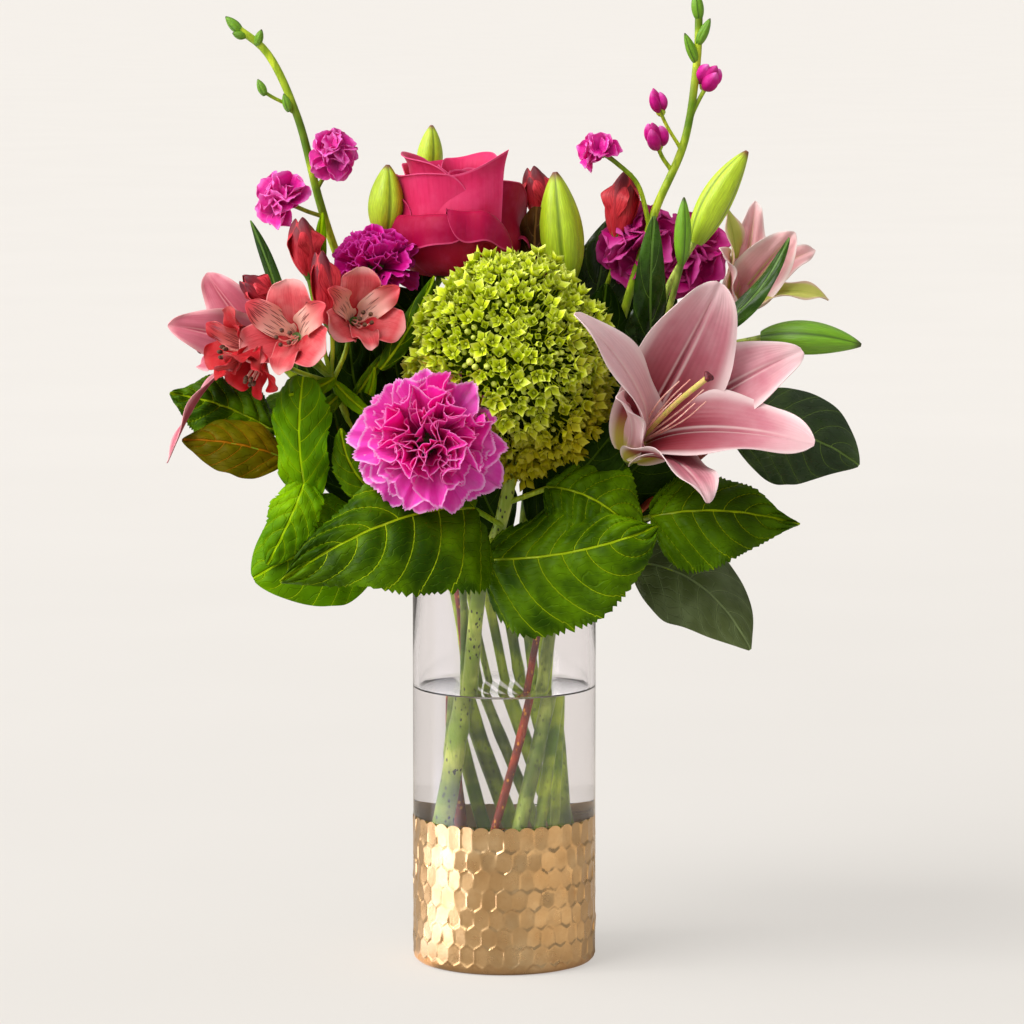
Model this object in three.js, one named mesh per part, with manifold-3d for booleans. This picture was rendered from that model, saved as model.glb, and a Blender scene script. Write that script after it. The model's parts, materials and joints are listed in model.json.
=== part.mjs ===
// A floral table centerpiece: cut flowers and foliage standing in a clear glass cylinder vase with
// a hammered gold band round its foot. Millimetres, +Z up, -Y is the side it is seen from, and the
// origin is the centre of the vase's foot on the table.
import * as THREE from "three";
import { mergeVertices } from "three/addons/utils/BufferGeometryUtils.js";
import Module from "manifold-3d";

const wasm = await Module();
wasm.setup();

// ---------------------------------------------------------------- driving dimensions
const GAP = 0.3; // clearance between neighbouring pieces
const SLIVER = 0.08; // facets finer than this are merged after a cut or a join

const VASE = { radius: 50.8, height: 222, wall: 3.3, base: 9, corner: 4, sides: 40 };
const BAND = { top: 82, thickness: 0.6 }; // flush with the glass above it
const WATER_LEVEL = 153.6;

// The stems stand in one ring and lean round it, like the rulings of a hyperboloid, so that they
// pass each other without touching and leave the middle of the vase free.
const RING = { foot: 37, rim: 34, twist: 100, footHeight: 11.5 };

const PETAL = 1.2; // thickness of a lily or rose petal as modelled
const LEAF = 1.2; // thickness of a leaf blade as modelled
const HYDRANGEA = { across: 55, deep: 50, tall: 62, florets: 70, bump: 0.09 };

// ---------------------------------------------------------------- solids from geometries
const vec = ([x, y, z]) => new THREE.Vector3(x, y, z);
const unit = (v) => vec(v).normalize();

function solid(geometry) {
  const bare = new THREE.BufferGeometry();
  bare.setAttribute("position", geometry.attributes.position);
  bare.setIndex(geometry.index);
  const merged = mergeVertices(bare, 1e-4);
  const vertProperties = merged.attributes.position.array;
  const triVerts = new Uint32Array(merged.index.array);
  const made = new wasm.Manifold(new wasm.Mesh({ numProp: 3, vertProperties, triVerts }));
  if (made.volume() > 0) return made;
  return new wasm.Manifold(
    new wasm.Mesh({ numProp: 3, vertProperties, triVerts: triVerts.slice().reverse() }),
  );
}

function geometryOf(body) {
  const mesh = body.getMesh();
  const geometry = new THREE.BufferGeometry();
  geometry.setAttribute("position", new THREE.BufferAttribute(mesh.vertProperties, 3));
  geometry.setIndex(new THREE.BufferAttribute(mesh.triVerts, 1));
  return geometry;
}

// Moves every vertex of a geometry by a function of its place.
function remap(geometry, place) {
  const position = geometry.attributes.position;
  const v = new THREE.Vector3();
  for (let i = 0; i < position.count; i += 1) {
    v.fromBufferAttribute(position, i);
    const moved = place(v);
    position.setXYZ(i, moved.x, moved.y, moved.z);
  }
  return geometry;
}

const join = (bodies) => bodies.reduce((all, next) => all.add(next));

function largestOf(body) {
  return body.decompose().sort((a, b) => b.volume() - a.volume())[0];
}

// ---------------------------------------------------------------- shapes
// A thin closed sheet. surface(u, v) gives its middle for u from -1 to 1 and v from 0 to 1, and
// grow moves every face and edge outwards.
function sheet(across, along, thickness, surface, grow) {
  const step = 0.01;
  const box = new THREE.BoxGeometry(2, 2, 2, across, along, 1);
  return solid(
    remap(box, (p) => {
      const u = p.x;
      const v = (p.y + 1) / 2;
      const du = surface(Math.min(u + step, 1), v).sub(surface(Math.max(u - step, -1), v));
      const dv = surface(u, Math.min(v + step, 1)).sub(surface(u, Math.max(v - step, 0)));
      du.normalize();
      dv.normalize();
      const normal = new THREE.Vector3().crossVectors(du, dv).normalize();
      const out = surface(u, v).addScaledVector(normal, p.z * (thickness / 2 + grow));
      if (Math.abs(u) === 1) out.addScaledVector(du, u * grow);
      if (Math.abs(p.y) === 1) out.addScaledVector(dv, p.y * grow);
      return out;
    }),
  );
}

// A closed round bar along a smooth curve through points; radiusAt(t) for t from 0 to 1.
function bar(points, radiusAt, sides, steps, grow, extraAtStart = 0) {
  const curve = new THREE.CatmullRomCurve3(points.map(vec), false, "centripetal");
  const frames = curve.computeFrenetFrames(steps);
  const cylinder = new THREE.CylinderGeometry(1, 1, 2, sides, steps);
  return solid(
    remap(cylinder, (p) => {
      const t = (p.y + 1) / 2;
      const i = Math.round(t * steps);
      const out = curve.getPointAt(t);
      const radius = radiusAt(t) + grow;
      out.addScaledVector(frames.normals[i], p.x * radius);
      out.addScaledVector(frames.binormals[i], -p.z * radius);
      if (i === 0) out.addScaledVector(frames.tangents[i], -grow - extraAtStart);
      if (i === steps) out.addScaledVector(frames.tangents[i], grow);
      return out;
    }),
  );
}

// Directions spread evenly over a sphere by the golden angle.
function spreadDirections(count) {
  const golden = Math.PI * (3 - Math.sqrt(5));
  return Array.from({ length: count }, (_, i) => {
    const z = 1 - (2 * i + 1) / count;
    const r = Math.sqrt(1 - z * z);
    return new THREE.Vector3(r * Math.cos(i * golden), r * Math.sin(i * golden), z);
  });
}

// A rounded head with bumps, across wide and along deep, turned so that its +Z is axis.
function bumpyHead({ at, axis, across, along, bumps, bump, detail, deep = across }, grow) {
  const turn = new THREE.Quaternion().setFromUnitVectors(new THREE.Vector3(0, 0, 1), unit(axis));
  const centres = spreadDirections(bumps);
  const reach = 2.2 / Math.sqrt(bumps);
  return solid(
    remap(new THREE.IcosahedronGeometry(1, detail), (p) => {
      const d = p.clone().normalize();
      const near = Math.min(...centres.map((c) => c.angleTo(d)));
      const swell = 1 + bump * (1 - Math.min(near / reach, 1) ** 2) - bump / 2;
      const out = new THREE.Vector3(d.x * across, d.y * deep, d.z * along).multiplyScalar(swell);
      out.addScaledVector(d, grow);
      return out.applyQuaternion(turn).add(vec(at));
    }),
  );
}

// A petal from base to tip, bulging along the flower's axis before it turns outwards.
function petal({ base, axis, tip, width, cup, bulge, inset = 0, along = 4 }, grow) {
  const root = vec(base);
  const up = unit(axis);
  const end = vec(tip);
  const reach = end.clone().sub(root);
  const radial = reach.clone().addScaledVector(up, -reach.dot(up)).normalize();
  const side = new THREE.Vector3().crossVectors(up, radial);
  const length = reach.length();
  root.addScaledVector(radial, inset);
  const curve = new THREE.CubicBezierCurve3(
    root,
    root.clone().addScaledVector(up, length * 0.35).addScaledVector(radial, length * 0.08),
    root.clone().lerp(end, 0.72).addScaledVector(up, bulge),
    end,
  );
  const surface = (u, v) => {
    const half = Math.max((width / 2) * Math.sin(Math.PI * (0.06 + 0.94 * v) ** 0.85) ** 0.8, 1);
    const tangent = curve.getTangent(v);
    const inward = new THREE.Vector3().crossVectors(tangent, side).normalize();
    return curve
      .getPoint(v)
      .addScaledVector(side, u * half)
      .addScaledVector(inward, cup * u * u * half);
  };
  return sheet(2, along, PETAL, surface, grow);
}

// A leaf blade from base over mid to tip; face is the way its upper side looks.
function leaf({ base, mid, tip, width, face, droop = 0.2, early = 0.8, facets = [4, 5] }, grow) {
  const curve = new THREE.QuadraticBezierCurve3(vec(base), vec(mid), vec(tip));
  const upper = unit(face);
  const surface = (u, v) => {
    const half = Math.max((width / 2) * Math.sin(Math.PI * (0.05 + 0.95 * v) ** early) ** 0.75, 0.8);
    const tangent = curve.getTangent(v);
    const side = new THREE.Vector3().crossVectors(upper, tangent).normalize();
    const normal = new THREE.Vector3().crossVectors(tangent, side);
    return curve
      .getPoint(v)
      .addScaledVector(side, u * half)
      .addScaledVector(normal, -droop * Math.abs(u) ** 1.5 * half);
  };
  return sheet(facets[0], facets[1], LEAF, surface, grow);
}

// A funnel-shaped flower whose rim is cut into six lobes, in one thin wall.
function lobedFunnel({ base, axis, length, spread, throat = 3 }, grow) {
  const turn = new THREE.Quaternion().setFromUnitVectors(new THREE.Vector3(0, 0, 1), unit(axis));
  const wall = 1.4;
  const rows = [0, 0.3, 0.65, 1];
  const radiusAt = (t) => throat + (spread - throat) * t ** 1.7;
  const outer = rows.map((t) => new THREE.Vector2(radiusAt(t), t * length));
  const inner = rows.map((t) => new THREE.Vector2(radiusAt(t) - wall, t * length + 0.6)).reverse();
  const profile = [new THREE.Vector2(0, 0), ...outer, ...inner, new THREE.Vector2(0, 0.6 + wall)];
  profile[profile.length - 2].set(throat - wall, 0.6 + wall);
  const lathe = new THREE.LatheGeometry(profile, 12);
  return solid(
    remap(lathe, (p) => {
      const azimuth = Math.atan2(p.z, p.x);
      const t = THREE.MathUtils.clamp(p.y / length, 0, 1);
      const lobe = Math.abs(Math.cos(3 * azimuth));
      const pull = 1 - 0.42 * t * (1 - lobe);
      const radius = Math.hypot(p.x, p.z);
      const isOuter = radius > radiusAt(t) - wall / 2;
      const grown = radius < 0.01 ? 0 : radius * pull + (isOuter ? 2 * grow : -grow);
      const height = p.y * pull + (p.y < 0.1 ? -grow : t === 1 ? 1.5 * grow : 0);
      const out = new THREE.Vector3(grown * Math.cos(azimuth), grown * Math.sin(azimuth), height);
      return out.applyQuaternion(turn).add(vec(base));
    }),
  );
}

// A closed bud from base to tip, thickest at its middle.
function bud({ base, tip, width, sides = 6 }, grow) {
  const middle = vec(base).lerp(vec(tip), 0.5).toArray();
  const radiusAt = (t) => Math.max((width / 2) * Math.sin(Math.PI * (0.1 + 0.88 * t)) ** 0.75, 1);
  return bar([base, middle, tip], radiusAt, sides, 6, grow);
}

// ---------------------------------------------------------------- vase, band and water
function turned(profile, sides) {
  const points = profile.map(([r, z]) => new THREE.Vector2(r, z));
  return solid(new THREE.LatheGeometry(points, sides).rotateX(Math.PI / 2));
}

function vaseGlass(grow) {
  const { radius, height, wall, base, corner, sides } = VASE;
  const recessed = radius - BAND.thickness - GAP;
  const inner = radius - wall;
  const g = grow;
  const profile = [
    [0, -g],
    [recessed - corner, -g],
    [recessed + g, corner],
    [recessed + g, BAND.top + GAP],
    [radius + g, BAND.top + 1],
    [radius + g, height - 1],
    [radius - 1, height + g],
    [inner + 1, height + g],
    [inner - g, height - 1],
    [inner - g, base + corner],
    [inner - corner, base + g],
    [0, base + g],
  ];
  return turned(profile, sides);
}

function goldBand(grow) {
  const { radius, corner, sides } = VASE;
  const inner = radius - BAND.thickness;
  const foot = radius - corner;
  const profile = [
    [foot - grow, -grow],
    [foot + 1 + grow, -grow],
    [radius + grow, corner],
    [radius + grow, BAND.top + grow],
    [inner - grow, BAND.top + grow],
    [inner - grow, corner],
    [foot - grow, -grow],
  ];
  return turned(profile, sides);
}

function water(grow) {
  const radius = VASE.radius - VASE.wall - GAP + grow;
  const floor = VASE.base + GAP - grow;
  const corner = VASE.corner;
  const profile = [
    [0, floor],
    [radius - corner, floor],
    [radius, floor + corner],
    [radius, WATER_LEVEL + grow],
    [0, WATER_LEVEL + grow],
  ];
  return turned(profile, VASE.sides);
}

// ---------------------------------------------------------------- stems
// rim is the compass place, in degrees from +X, where a stem passes the vase's mouth; route goes on
// from there, and each branch starts inside the stem. leaves are the narrow ones that grow on it.
const GREEN = 0x7fa53a;
const STEMS = [
  {
    name: "hydrangea_stem",
    rim: 250,
    width: 10,
    route: [[-2, -42, 250], [4, -42, 280], [5, -40, 300]],
    colour: 0xa9c46a,
  },
  {
    name: "pink_carnation_stem",
    rim: 225,
    width: 5,
    route: [[-36, -50, 262], [-41, -68, 287], [-41, -80, 298]],
    colour: 0x8fae62,
  },
  {
    name: "foliage_stem_left",
    rim: 204,
    width: 5,
    route: [[-60, -27, 248], [-92, -30, 270], [-118, -22, 285]],
    colour: 0x6d4a22,
  },
  {
    name: "alstroemeria_stem_left",
    rim: 184,
    width: 5.5,
    route: [[-60, -22, 262], [-82, -38, 300], [-94, -45, 332]],
    branches: [
      { width: 2.6, points: [[-93, -44, 328], [-104, -44, 340], [-111, -46, 350]] },
      { width: 2.6, points: [[-93, -44, 328], [-86, -36, 344], [-84, -32, 357]] },
      { width: 2.6, points: [[-93, -44, 327], [-114, -42, 334], [-129, -40, 344]] },
      { width: 2.6, points: [[-94, -45, 330], [-117, -50, 347], [-130, -58.5, 350]] },
      { width: 2.4, points: [[-94, -44, 330], [-110, -36, 352], [-123, -34, 369.5]] },
      { width: 2.4, points: [[-94, -44, 330], [-101, -34, 358], [-106, -30, 382]] },
      { width: 2.4, points: [[-94, -45, 330], [-93, -46, 342], [-93, -46, 354]] },
    ],
    colour: 0x8fae3c,
  },
  {
    name: "lily_stem_left",
    rim: 162,
    width: 7,
    route: [[-55, 12, 258], [-90, 12, 298], [-115, 11, 324], [-128, 10, 338]],
    branches: [{ width: 4, points: [[-74, 12, 280], [-71, 10, 340], [-66, 5, 407]] }],
    leaves: [{ base: [-113, 12, 322], mid: [-122, 6, 372], tip: [-140, 10, 412], width: 9,
      face: [-0.5, -0.8, 0.2] }],
    colour: 0x7c9c3e,
  },
  {
    name: "magenta_carnation_stem",
    rim: 141,
    width: 4.5,
    route: [[-40, 21, 270], [-57, 2, 330], [-68, -14, 382]],
    colour: 0x8fae62,
  },
  {
    name: "stock_stem_left",
    rim: 120,
    width: 6,
    route: [[-40, 36, 275], [-72, 28, 340], [-95, 13, 400], [-102, 6, 424], [-114, 8, 470],
      [-131, 10, 505], [-147, 10, 518]],
    branches: [
      { width: 2.4, points: [[-103, 6, 430], [-97, 3, 440], [-93, 0, 448]] },
      { width: 2.4, points: [[-99, 8, 414], [-108, -6, 418], [-116, -14, 422]] },
      { width: 2, points: [[-115, 8, 471], [-119, 6, 474], [-121, 5, 477]] },
      { width: 2, points: [[-117, 8, 475], [-127, 4, 480], [-133, 1, 484]] },
      { width: 5, points: [[-118, 5, 472], [-119, 5, 476], [-121, 4, 481]] },
      { width: 5, points: [[-131, 1, 481], [-133, 0, 485], [-135, 0, 489]] },
      { width: 5, points: [[-136, 10, 508], [-133, 7, 511], [-133, 6, 516]] },
      { width: 5, points: [[-142, 10, 513], [-146, 7, 511], [-149, 6, 514]] },
      { width: 6, points: [[-144, 10, 515], [-149, 10, 519], [-153, 10, 523]] },
    ],
    colour: 0x9cbb4e,
  },
  {
    name: "rose_stem",
    rim: 96,
    width: 7,
    route: [[-10, 38, 290], [-19, 30, 345], [-24, 20, 385]],
    colour: 0x4f7a2a,
  },
  {
    name: "lily_stem_back",
    rim: 72,
    width: 7,
    route: [[16, 38, 280], [27, 26, 340], [33, 8, 381]],
    branches: [{ width: 4, points: [[16, 39, 285], [-16, 82, 360], [-42, 76, 436]] }],
    colour: 0x7c9c3e,
  },
  {
    name: "alstroemeria_stem_right",
    rim: 49,
    width: 5,
    route: [[36, 30, 290], [49, 24, 345], [56, 18, 372]],
    branches: [
      { width: 2.6, points: [[54, 19, 368], [60, 14, 386], [62, 12, 400]] },
      { width: 2.6, points: [[50, 23, 350], [38, 40, 378], [23.5, 46, 409]] },
    ],
    colour: 0x6f8f35,
  },
  {
    name: "stock_stem_right",
    rim: 26,
    width: 6,
    route: [[47, 18, 290], [63, 11, 350], [76, 6, 395], [84, 5, 420], [99, 8, 455],
      [106, 10, 500], [107, 10, 530]],
    branches: [
      { width: 2.6, points: [[80, 5, 410], [73, 0, 433], [62, -4, 444], [54, -5, 450]] },
      { width: 2.4, points: [[92, 7, 440], [87, 4, 447], [84, 1, 454]] },
      { width: 2, points: [[97, 8, 452], [89, 6, 465], [85, 5, 474]] },
      { width: 2.4, points: [[103, 9, 470], [108, 10, 480], [112, 10, 487]] },
      { width: 3, points: [[71, 8, 378], [73, 9, 388], [75, 10, 396]] },
      { width: 3, points: [[71, 8, 378], [86, 11, 384], [97, 14, 390]] },
      { width: 6, points: [[106, 10, 498], [101, 8, 506], [99, 7, 514]] },
      { width: 6, points: [[106, 10, 508], [111, 8, 514], [113, 7, 522]] },
      { width: 7, points: [[107, 10, 522], [106, 9, 530], [105, 9, 538]] },
    ],
    colour: 0x9cbb4e,
  },
  {
    name: "lily_stem_right",
    rim: 2,
    width: 8,
    route: [[50, -6, 258], [68, -12, 300], [80, -18, 334], [86, -21, 352]],
    branches: [
      { width: 5, points: [[61, -9, 284], [68, -25, 282], [67, -48, 287]] },
      { width: 3.6, points: [[85, -21, 348], [88, -26, 374], [104, -30, 404]] },
      { width: 3.4, points: [[85, -21, 348], [91, -38, 372], [96, -45, 393]] },
      { width: 3.8, points: [[77, -16, 325], [112, -12, 342], [142, -15, 349]] },
      { width: 4.5, points: [[81, -18, 337], [104, 4, 350], [124, 19, 362]] },
    ],
    leaves: [
      { base: [82, -18, 336], mid: [77, -48, 368], tip: [81, -50, 418], width: 17,
        face: [0.1, -0.9, 0.3] },
      { base: [88, -22, 348], mid: [132, -40, 352], tip: [155, -30, 405], width: 12,
        face: [-0.4, -0.8, 0.4] },
    ],
    colour: 0x6f8f4e,
  },
  {
    name: "foliage_stem_right",
    rim: 335,
    width: 4.5,
    route: [[52, -28, 236], [70, -32, 252], [96, -18, 274], [125, 6, 295]],
    colour: 0x7d8a3a,
  },
];

function ringPoint(radius, degrees, height) {
  const a = THREE.MathUtils.degToRad(degrees);
  return [radius * Math.cos(a), radius * Math.sin(a), height];
}

function stem({ rim, width, route, branches = [], leaves = [] }, grow, extraAtFoot = 0) {
  const foot = ringPoint(RING.foot, rim - RING.twist, RING.footHeight);
  const mouth = ringPoint(RING.rim, rim, VASE.height);
  const middle = vec(foot).lerp(vec(mouth), 0.5).toArray();
  const points = [foot, middle, mouth, ...route];
  const steps = 8 + 2 * route.length;
  const thinning = (t) => (width / 2) * (1 - 0.3 * t);
  const trunk = bar(points, thinning, 6, steps, grow, extraAtFoot);
  const twigs = branches.map((b) =>
    bar(b.points, () => b.width / 2, b.width < 4 ? 4 : 5, 2, grow),
  );
  const blades = leaves.map((l) => leaf({ ...l, facets: [2, 4] }, grow));
  return join([trunk, ...twigs, ...blades]);
}

// ---------------------------------------------------------------- flower heads
function hydrangeaHead(grow) {
  const { across, deep, tall, florets, bump } = HYDRANGEA;
  const head = { at: [5, -40, 336], axis: [0, 0, 1], across, deep, along: tall };
  return bumpyHead({ ...head, bumps: florets, bump, detail: 5 }, grow);
}

function carnation({ at, axis, radius, depth, calyx }, grow) {
  const ruffles = { at, axis, across: radius, along: depth, bumps: 22, bump: 0.18, detail: 4 };
  const back = unit(axis).multiplyScalar(-1);
  const top = vec(at).addScaledVector(back, depth * 0.5);
  const end = vec(at).addScaledVector(back, depth * 0.5 + calyx);
  const cup = bar([end.toArray(), top.toArray()], (t) => 4 + 4 * t, 8, 3, grow);
  return join([bumpyHead(ruffles, grow), cup]);
}

const CARNATIONS = [
  { name: "pink_carnation", at: [-40, -98, 302], axis: [0, -0.97, 0.2], radius: 39, depth: 20,
    calyx: 14, colour: 0xe052b0 },
  { name: "magenta_carnation", at: [-72, -20, 399], axis: [-0.1, -0.45, 0.9], radius: 22, depth: 17,
    calyx: 12, colour: 0xa8128a },
];

const ROSE = { base: [-24, 15, 380], top: [-24, 19, 448], radius: 36, petals: 5, reach: 44, height: 64 };

function rose(grow) {
  const { base, top, radius, petals, reach, height } = ROSE;
  const axis = vec(top).sub(vec(base)).normalize().toArray();
  const swell = (t) => 7 + (radius - 7) * Math.sin(Math.PI * Math.min(t * 0.62, 0.5));
  const bowl = bar([base, top], swell, 12, 4, grow);
  const outer = Array.from({ length: petals }, (_, k) => {
    const [dx, dy] = ringPoint(reach, 90 + (360 / petals) * k, 0);
    const tip = [base[0] + dx, base[1] + dy, base[2] + height];
    return petal({ base, axis, tip, width: 46, cup: 0.35, bulge: -6, inset: 6 }, grow);
  });
  return join([bowl, ...outer]);
}

// Lilies: base is where the six petals leave the stem, tips are the petals' ends.
const LILIES = [
  {
    name: "lily_front",
    base: [67, -50, 288],
    axis: [0.5, -0.5, 0.7],
    tips: [[44, -105, 371], [115, -60, 380], [160, -45, 345], [165, -80, 300], [110, -115, 273],
      [62, -100, 325]],
    widths: [24, 46, 34, 36, 30, 26],
    pistil: [108, -100, 335],
  },
  {
    name: "lily_right",
    base: [125, 20, 362],
    axis: [0.5, 0.1, 0.85],
    tips: [[128, 35, 420], [148, 18, 423], [164, 0, 398], [177, 45, 391], [180, 12, 375],
      [120, 0, 392]],
    widths: [22, 26, 24, 26, 18, 18],
    pistil: [151, 24, 396],
  },
  {
    name: "lily_left",
    base: [-129, 10, 340],
    axis: [-0.85, -0.1, 0.3],
    tips: [[-165, 12, 383], [-185, -8, 356], [-184, -45, 284], [-172, 40, 330], [-150, 50, 372],
      [-160, 30, 300]],
    widths: [24, 24, 11, 26, 24, 22],
    pistil: [-168, 8, 342],
  },
];

function lily({ base, axis, tips, widths, pistil }, grow) {
  const petals = tips.map((tip, i) => {
    const inset = i % 2 ? 2.2 : 5; // three petals stand inside the other three
    return petal({ base, axis, tip, width: widths[i], cup: 0.25, bulge: 7, inset }, grow);
  });
  const throat = vec(base).addScaledVector(unit(axis), 14).toArray();
  const funnel = bar([base, throat], (t) => 3 + 3 * t, 8, 3, grow);
  const stigma = bar([throat, pistil], (t) => 1.2 + 1.4 * t ** 6, 5, 4, grow);
  return join([funnel, stigma, ...petals]);
}

const LILY_BUDS = [
  { name: "lily_bud_left", base: [-66, 5, 404], tip: [-64, 5, 443], width: 20 },
  { name: "lily_bud_back", base: [-43, 76, 430], tip: [-41, 75, 462], width: 15 },
  { name: "lily_bud_centre", base: [34, 6, 378], tip: [28, 5, 439], width: 25 },
  { name: "lily_bud_right", base: [104, -30, 402], tip: [132, -30, 452], width: 18 },
  { name: "lily_bud_small", base: [96, -46, 392], tip: [97, -50, 428], width: 9.5 },
  { name: "lily_bud_outer", base: [141, -15, 349], tip: [195, -25, 346], width: 19 },
];

// Alstroemeria flowers: spread is the mouth's radius, small on those that are still closed.
const ALSTROEMERIAS = [
  { name: "alstroemeria_1", base: [-111, -47, 351], axis: [-0.25, -0.9, 0.3], length: 30, spread: 26 },
  { name: "alstroemeria_2", base: [-83, -31, 358], axis: [0.3, -0.85, 0.35], length: 30, spread: 23 },
  { name: "alstroemeria_3", base: [-130, -41, 345], axis: [-0.8, -0.55, 0.15], length: 30, spread: 19 },
  { name: "alstroemeria_4", base: [-129, -58, 351], axis: [-0.4, -0.55, -0.75], length: 28, spread: 17 },
  { name: "alstroemeria_5", base: [-122, -34, 368], axis: [-0.75, -0.2, 0.6], length: 26, spread: 9 },
  { name: "alstroemeria_6", base: [-106, -29, 383], axis: [-0.15, 0, 1], length: 33, spread: 12 },
  { name: "alstroemeria_7", base: [-93, -46, 355], axis: [-0.15, 0, 1], length: 44, spread: 9 },
  { name: "alstroemeria_8", base: [62, 12, 401], axis: [0.15, 0, 1], length: 38, spread: 13 },
  { name: "alstroemeria_9", base: [24, 46, 407], axis: [-0.25, 0, 0.95], length: 34, spread: 12 },
];

const STOCK_FLOWERS = [
  { name: "stock_flower_left_upper", at: [-91, -3, 452], axis: [0.4, -0.8, 0.4], across: 15, along: 11 },
  { name: "stock_flower_left_lower", at: [-123, -20, 427], axis: [-0.4, -0.8, 0.4], across: 17, along: 12 },
  { name: "stock_flower_right_side", at: [49, -7, 453], axis: [-0.5, -0.7, 0.4], across: 12, along: 10 },
  { name: "stock_flower_right_mid", at: [83, 0, 459], axis: [-0.2, -0.6, 0.7], across: 8, along: 9 },
  { name: "stock_bud_right", at: [84, 5, 478], axis: [-0.3, -0.3, 0.9], across: 6, along: 7 },
  { name: "stock_flower_right_upper", at: [113, 9, 491], axis: [0.4, -0.6, 0.7], across: 9, along: 8 },
  { name: "stock_flower_right_low", at: [72, 8, 402], axis: [-0.2, -0.9, 0.3], across: 21, along: 14 },
  { name: "stock_flower_right_lower", at: [104, 15, 396], axis: [0.3, -0.8, 0.4], across: 21, along: 15 },
];

// ---------------------------------------------------------------- large leaves
const LEAVES = [
  { name: "hydrangea_leaf_front_left", stalk: [[-1, -44, 249], [-10, -58, 254]],
    base: [-10, -58, 254], mid: [-62, -100, 262], tip: [-118, -95, 227], width: 66,
    face: [-0.1, -0.8, 0.6], colour: 0x2f7a14 },
  { name: "hydrangea_leaf_front_right", stalk: [[-6, -39, 243], [-8, -57, 232]],
    base: [-8, -57, 232], mid: [38, -88, 234], tip: [81, -75, 252], width: 78,
    face: [0.05, -0.9, 0.4], colour: 0x2f7a14 },
  { name: "hydrangea_leaf_right", stalk: [[3, -44, 262], [24, -46, 270]],
    base: [24, -46, 270], mid: [50, -66, 268], tip: [71, -62, 240], width: 44,
    face: [0.2, -0.8, 0.5], colour: 0x3f7f24 },
  { name: "foliage_leaf_left_upright", stalk: [[-98, -31, 273], [-106, -48, 262]],
    base: [-106, -48, 262], mid: [-112, -64, 290], tip: [-109, -60, 331], width: 40,
    face: [-0.3, -0.9, 0.1], colour: 0x5a9a1e },
  { name: "foliage_leaf_left_olive", stalk: [[-112, -24, 282], [-120, -26, 284]],
    base: [-120, -26, 284], mid: [-148, -34, 296], tip: [-176, -28, 294], width: 36,
    face: [0, -0.8, 0.6], colour: 0x5c5f1a },
  { name: "foliage_leaf_left_tip", stalk: [[-116, -22, 286], [-126, -4, 296]],
    base: [-126, -4, 296], mid: [-158, -8, 316], tip: [-184, 0, 316], width: 38,
    face: [0, -0.7, 0.7], colour: 0x2f7a14 },
  { name: "foliage_leaf_left_low", stalk: [[-58, -27, 246], [-66, -42, 234]],
    base: [-66, -42, 234], mid: [-98, -62, 240], tip: [-134, -58, 224], width: 40,
    face: [-0.1, -0.8, 0.6], colour: 0x4f9423 },
  { name: "foliage_leaf_right_serrated", stalk: [[66, -32, 249], [80, -46, 252]],
    base: [80, -46, 252], mid: [118, -58, 262], tip: [160, -42, 249], width: 50,
    face: [0.1, -0.8, 0.6], colour: 0x2c6a17 },
  { name: "salal_leaf_right", stalk: [[118, 0, 290], [127, 9, 293]],
    base: [127, 9, 293], mid: [166, 2, 300], tip: [196, 0, 275], width: 56,
    face: [0, -0.8, 0.6], colour: 0x2c4d1c },
  { name: "salal_leaf_low", stalk: [[48, -26, 233], [70, -24, 226]],
    base: [70, -24, 226], mid: [112, -34, 226], tip: [135, -32, 179], width: 52,
    face: [0.3, -0.8, 0.4], colour: 0x3f5d33 },
  { name: "rear_leaf_left", stalk: [[-37, 34, 268], [-48, 48, 272]],
    base: [-48, 48, 272], mid: [-94, 84, 330], tip: [-142, 100, 290], width: 72,
    face: [-0.4, 0.6, 0.7], colour: 0x2f7a14 },
  { name: "rear_leaf_middle_left", stalk: [[-10, 41, 288], [-14, 54, 298]],
    base: [-14, 54, 298], mid: [-34, 98, 336], tip: [-56, 140, 288], width: 74,
    face: [-0.2, 0.6, 0.8], colour: 0x2f7a14 },
  { name: "rear_leaf_middle_right", stalk: [[17, 41, 284], [26, 54, 290]],
    base: [26, 54, 290], mid: [44, 102, 328], tip: [60, 138, 276], width: 72,
    face: [0.2, 0.6, 0.8], colour: 0x3f7f24 },
  { name: "rear_leaf_right", stalk: [[50, 20, 292], [66, 36, 296]],
    base: [66, 36, 296], mid: [108, 68, 342], tip: [146, 88, 296], width: 66,
    face: [0.4, 0.5, 0.8], colour: 0x2c4d1c },
];

function stalkedLeaf(description, grow) {
  const stalk = bar(description.stalk, () => 1.6, 5, 2, grow);
  return join([stalk, leaf(description, grow)]);
}

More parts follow.
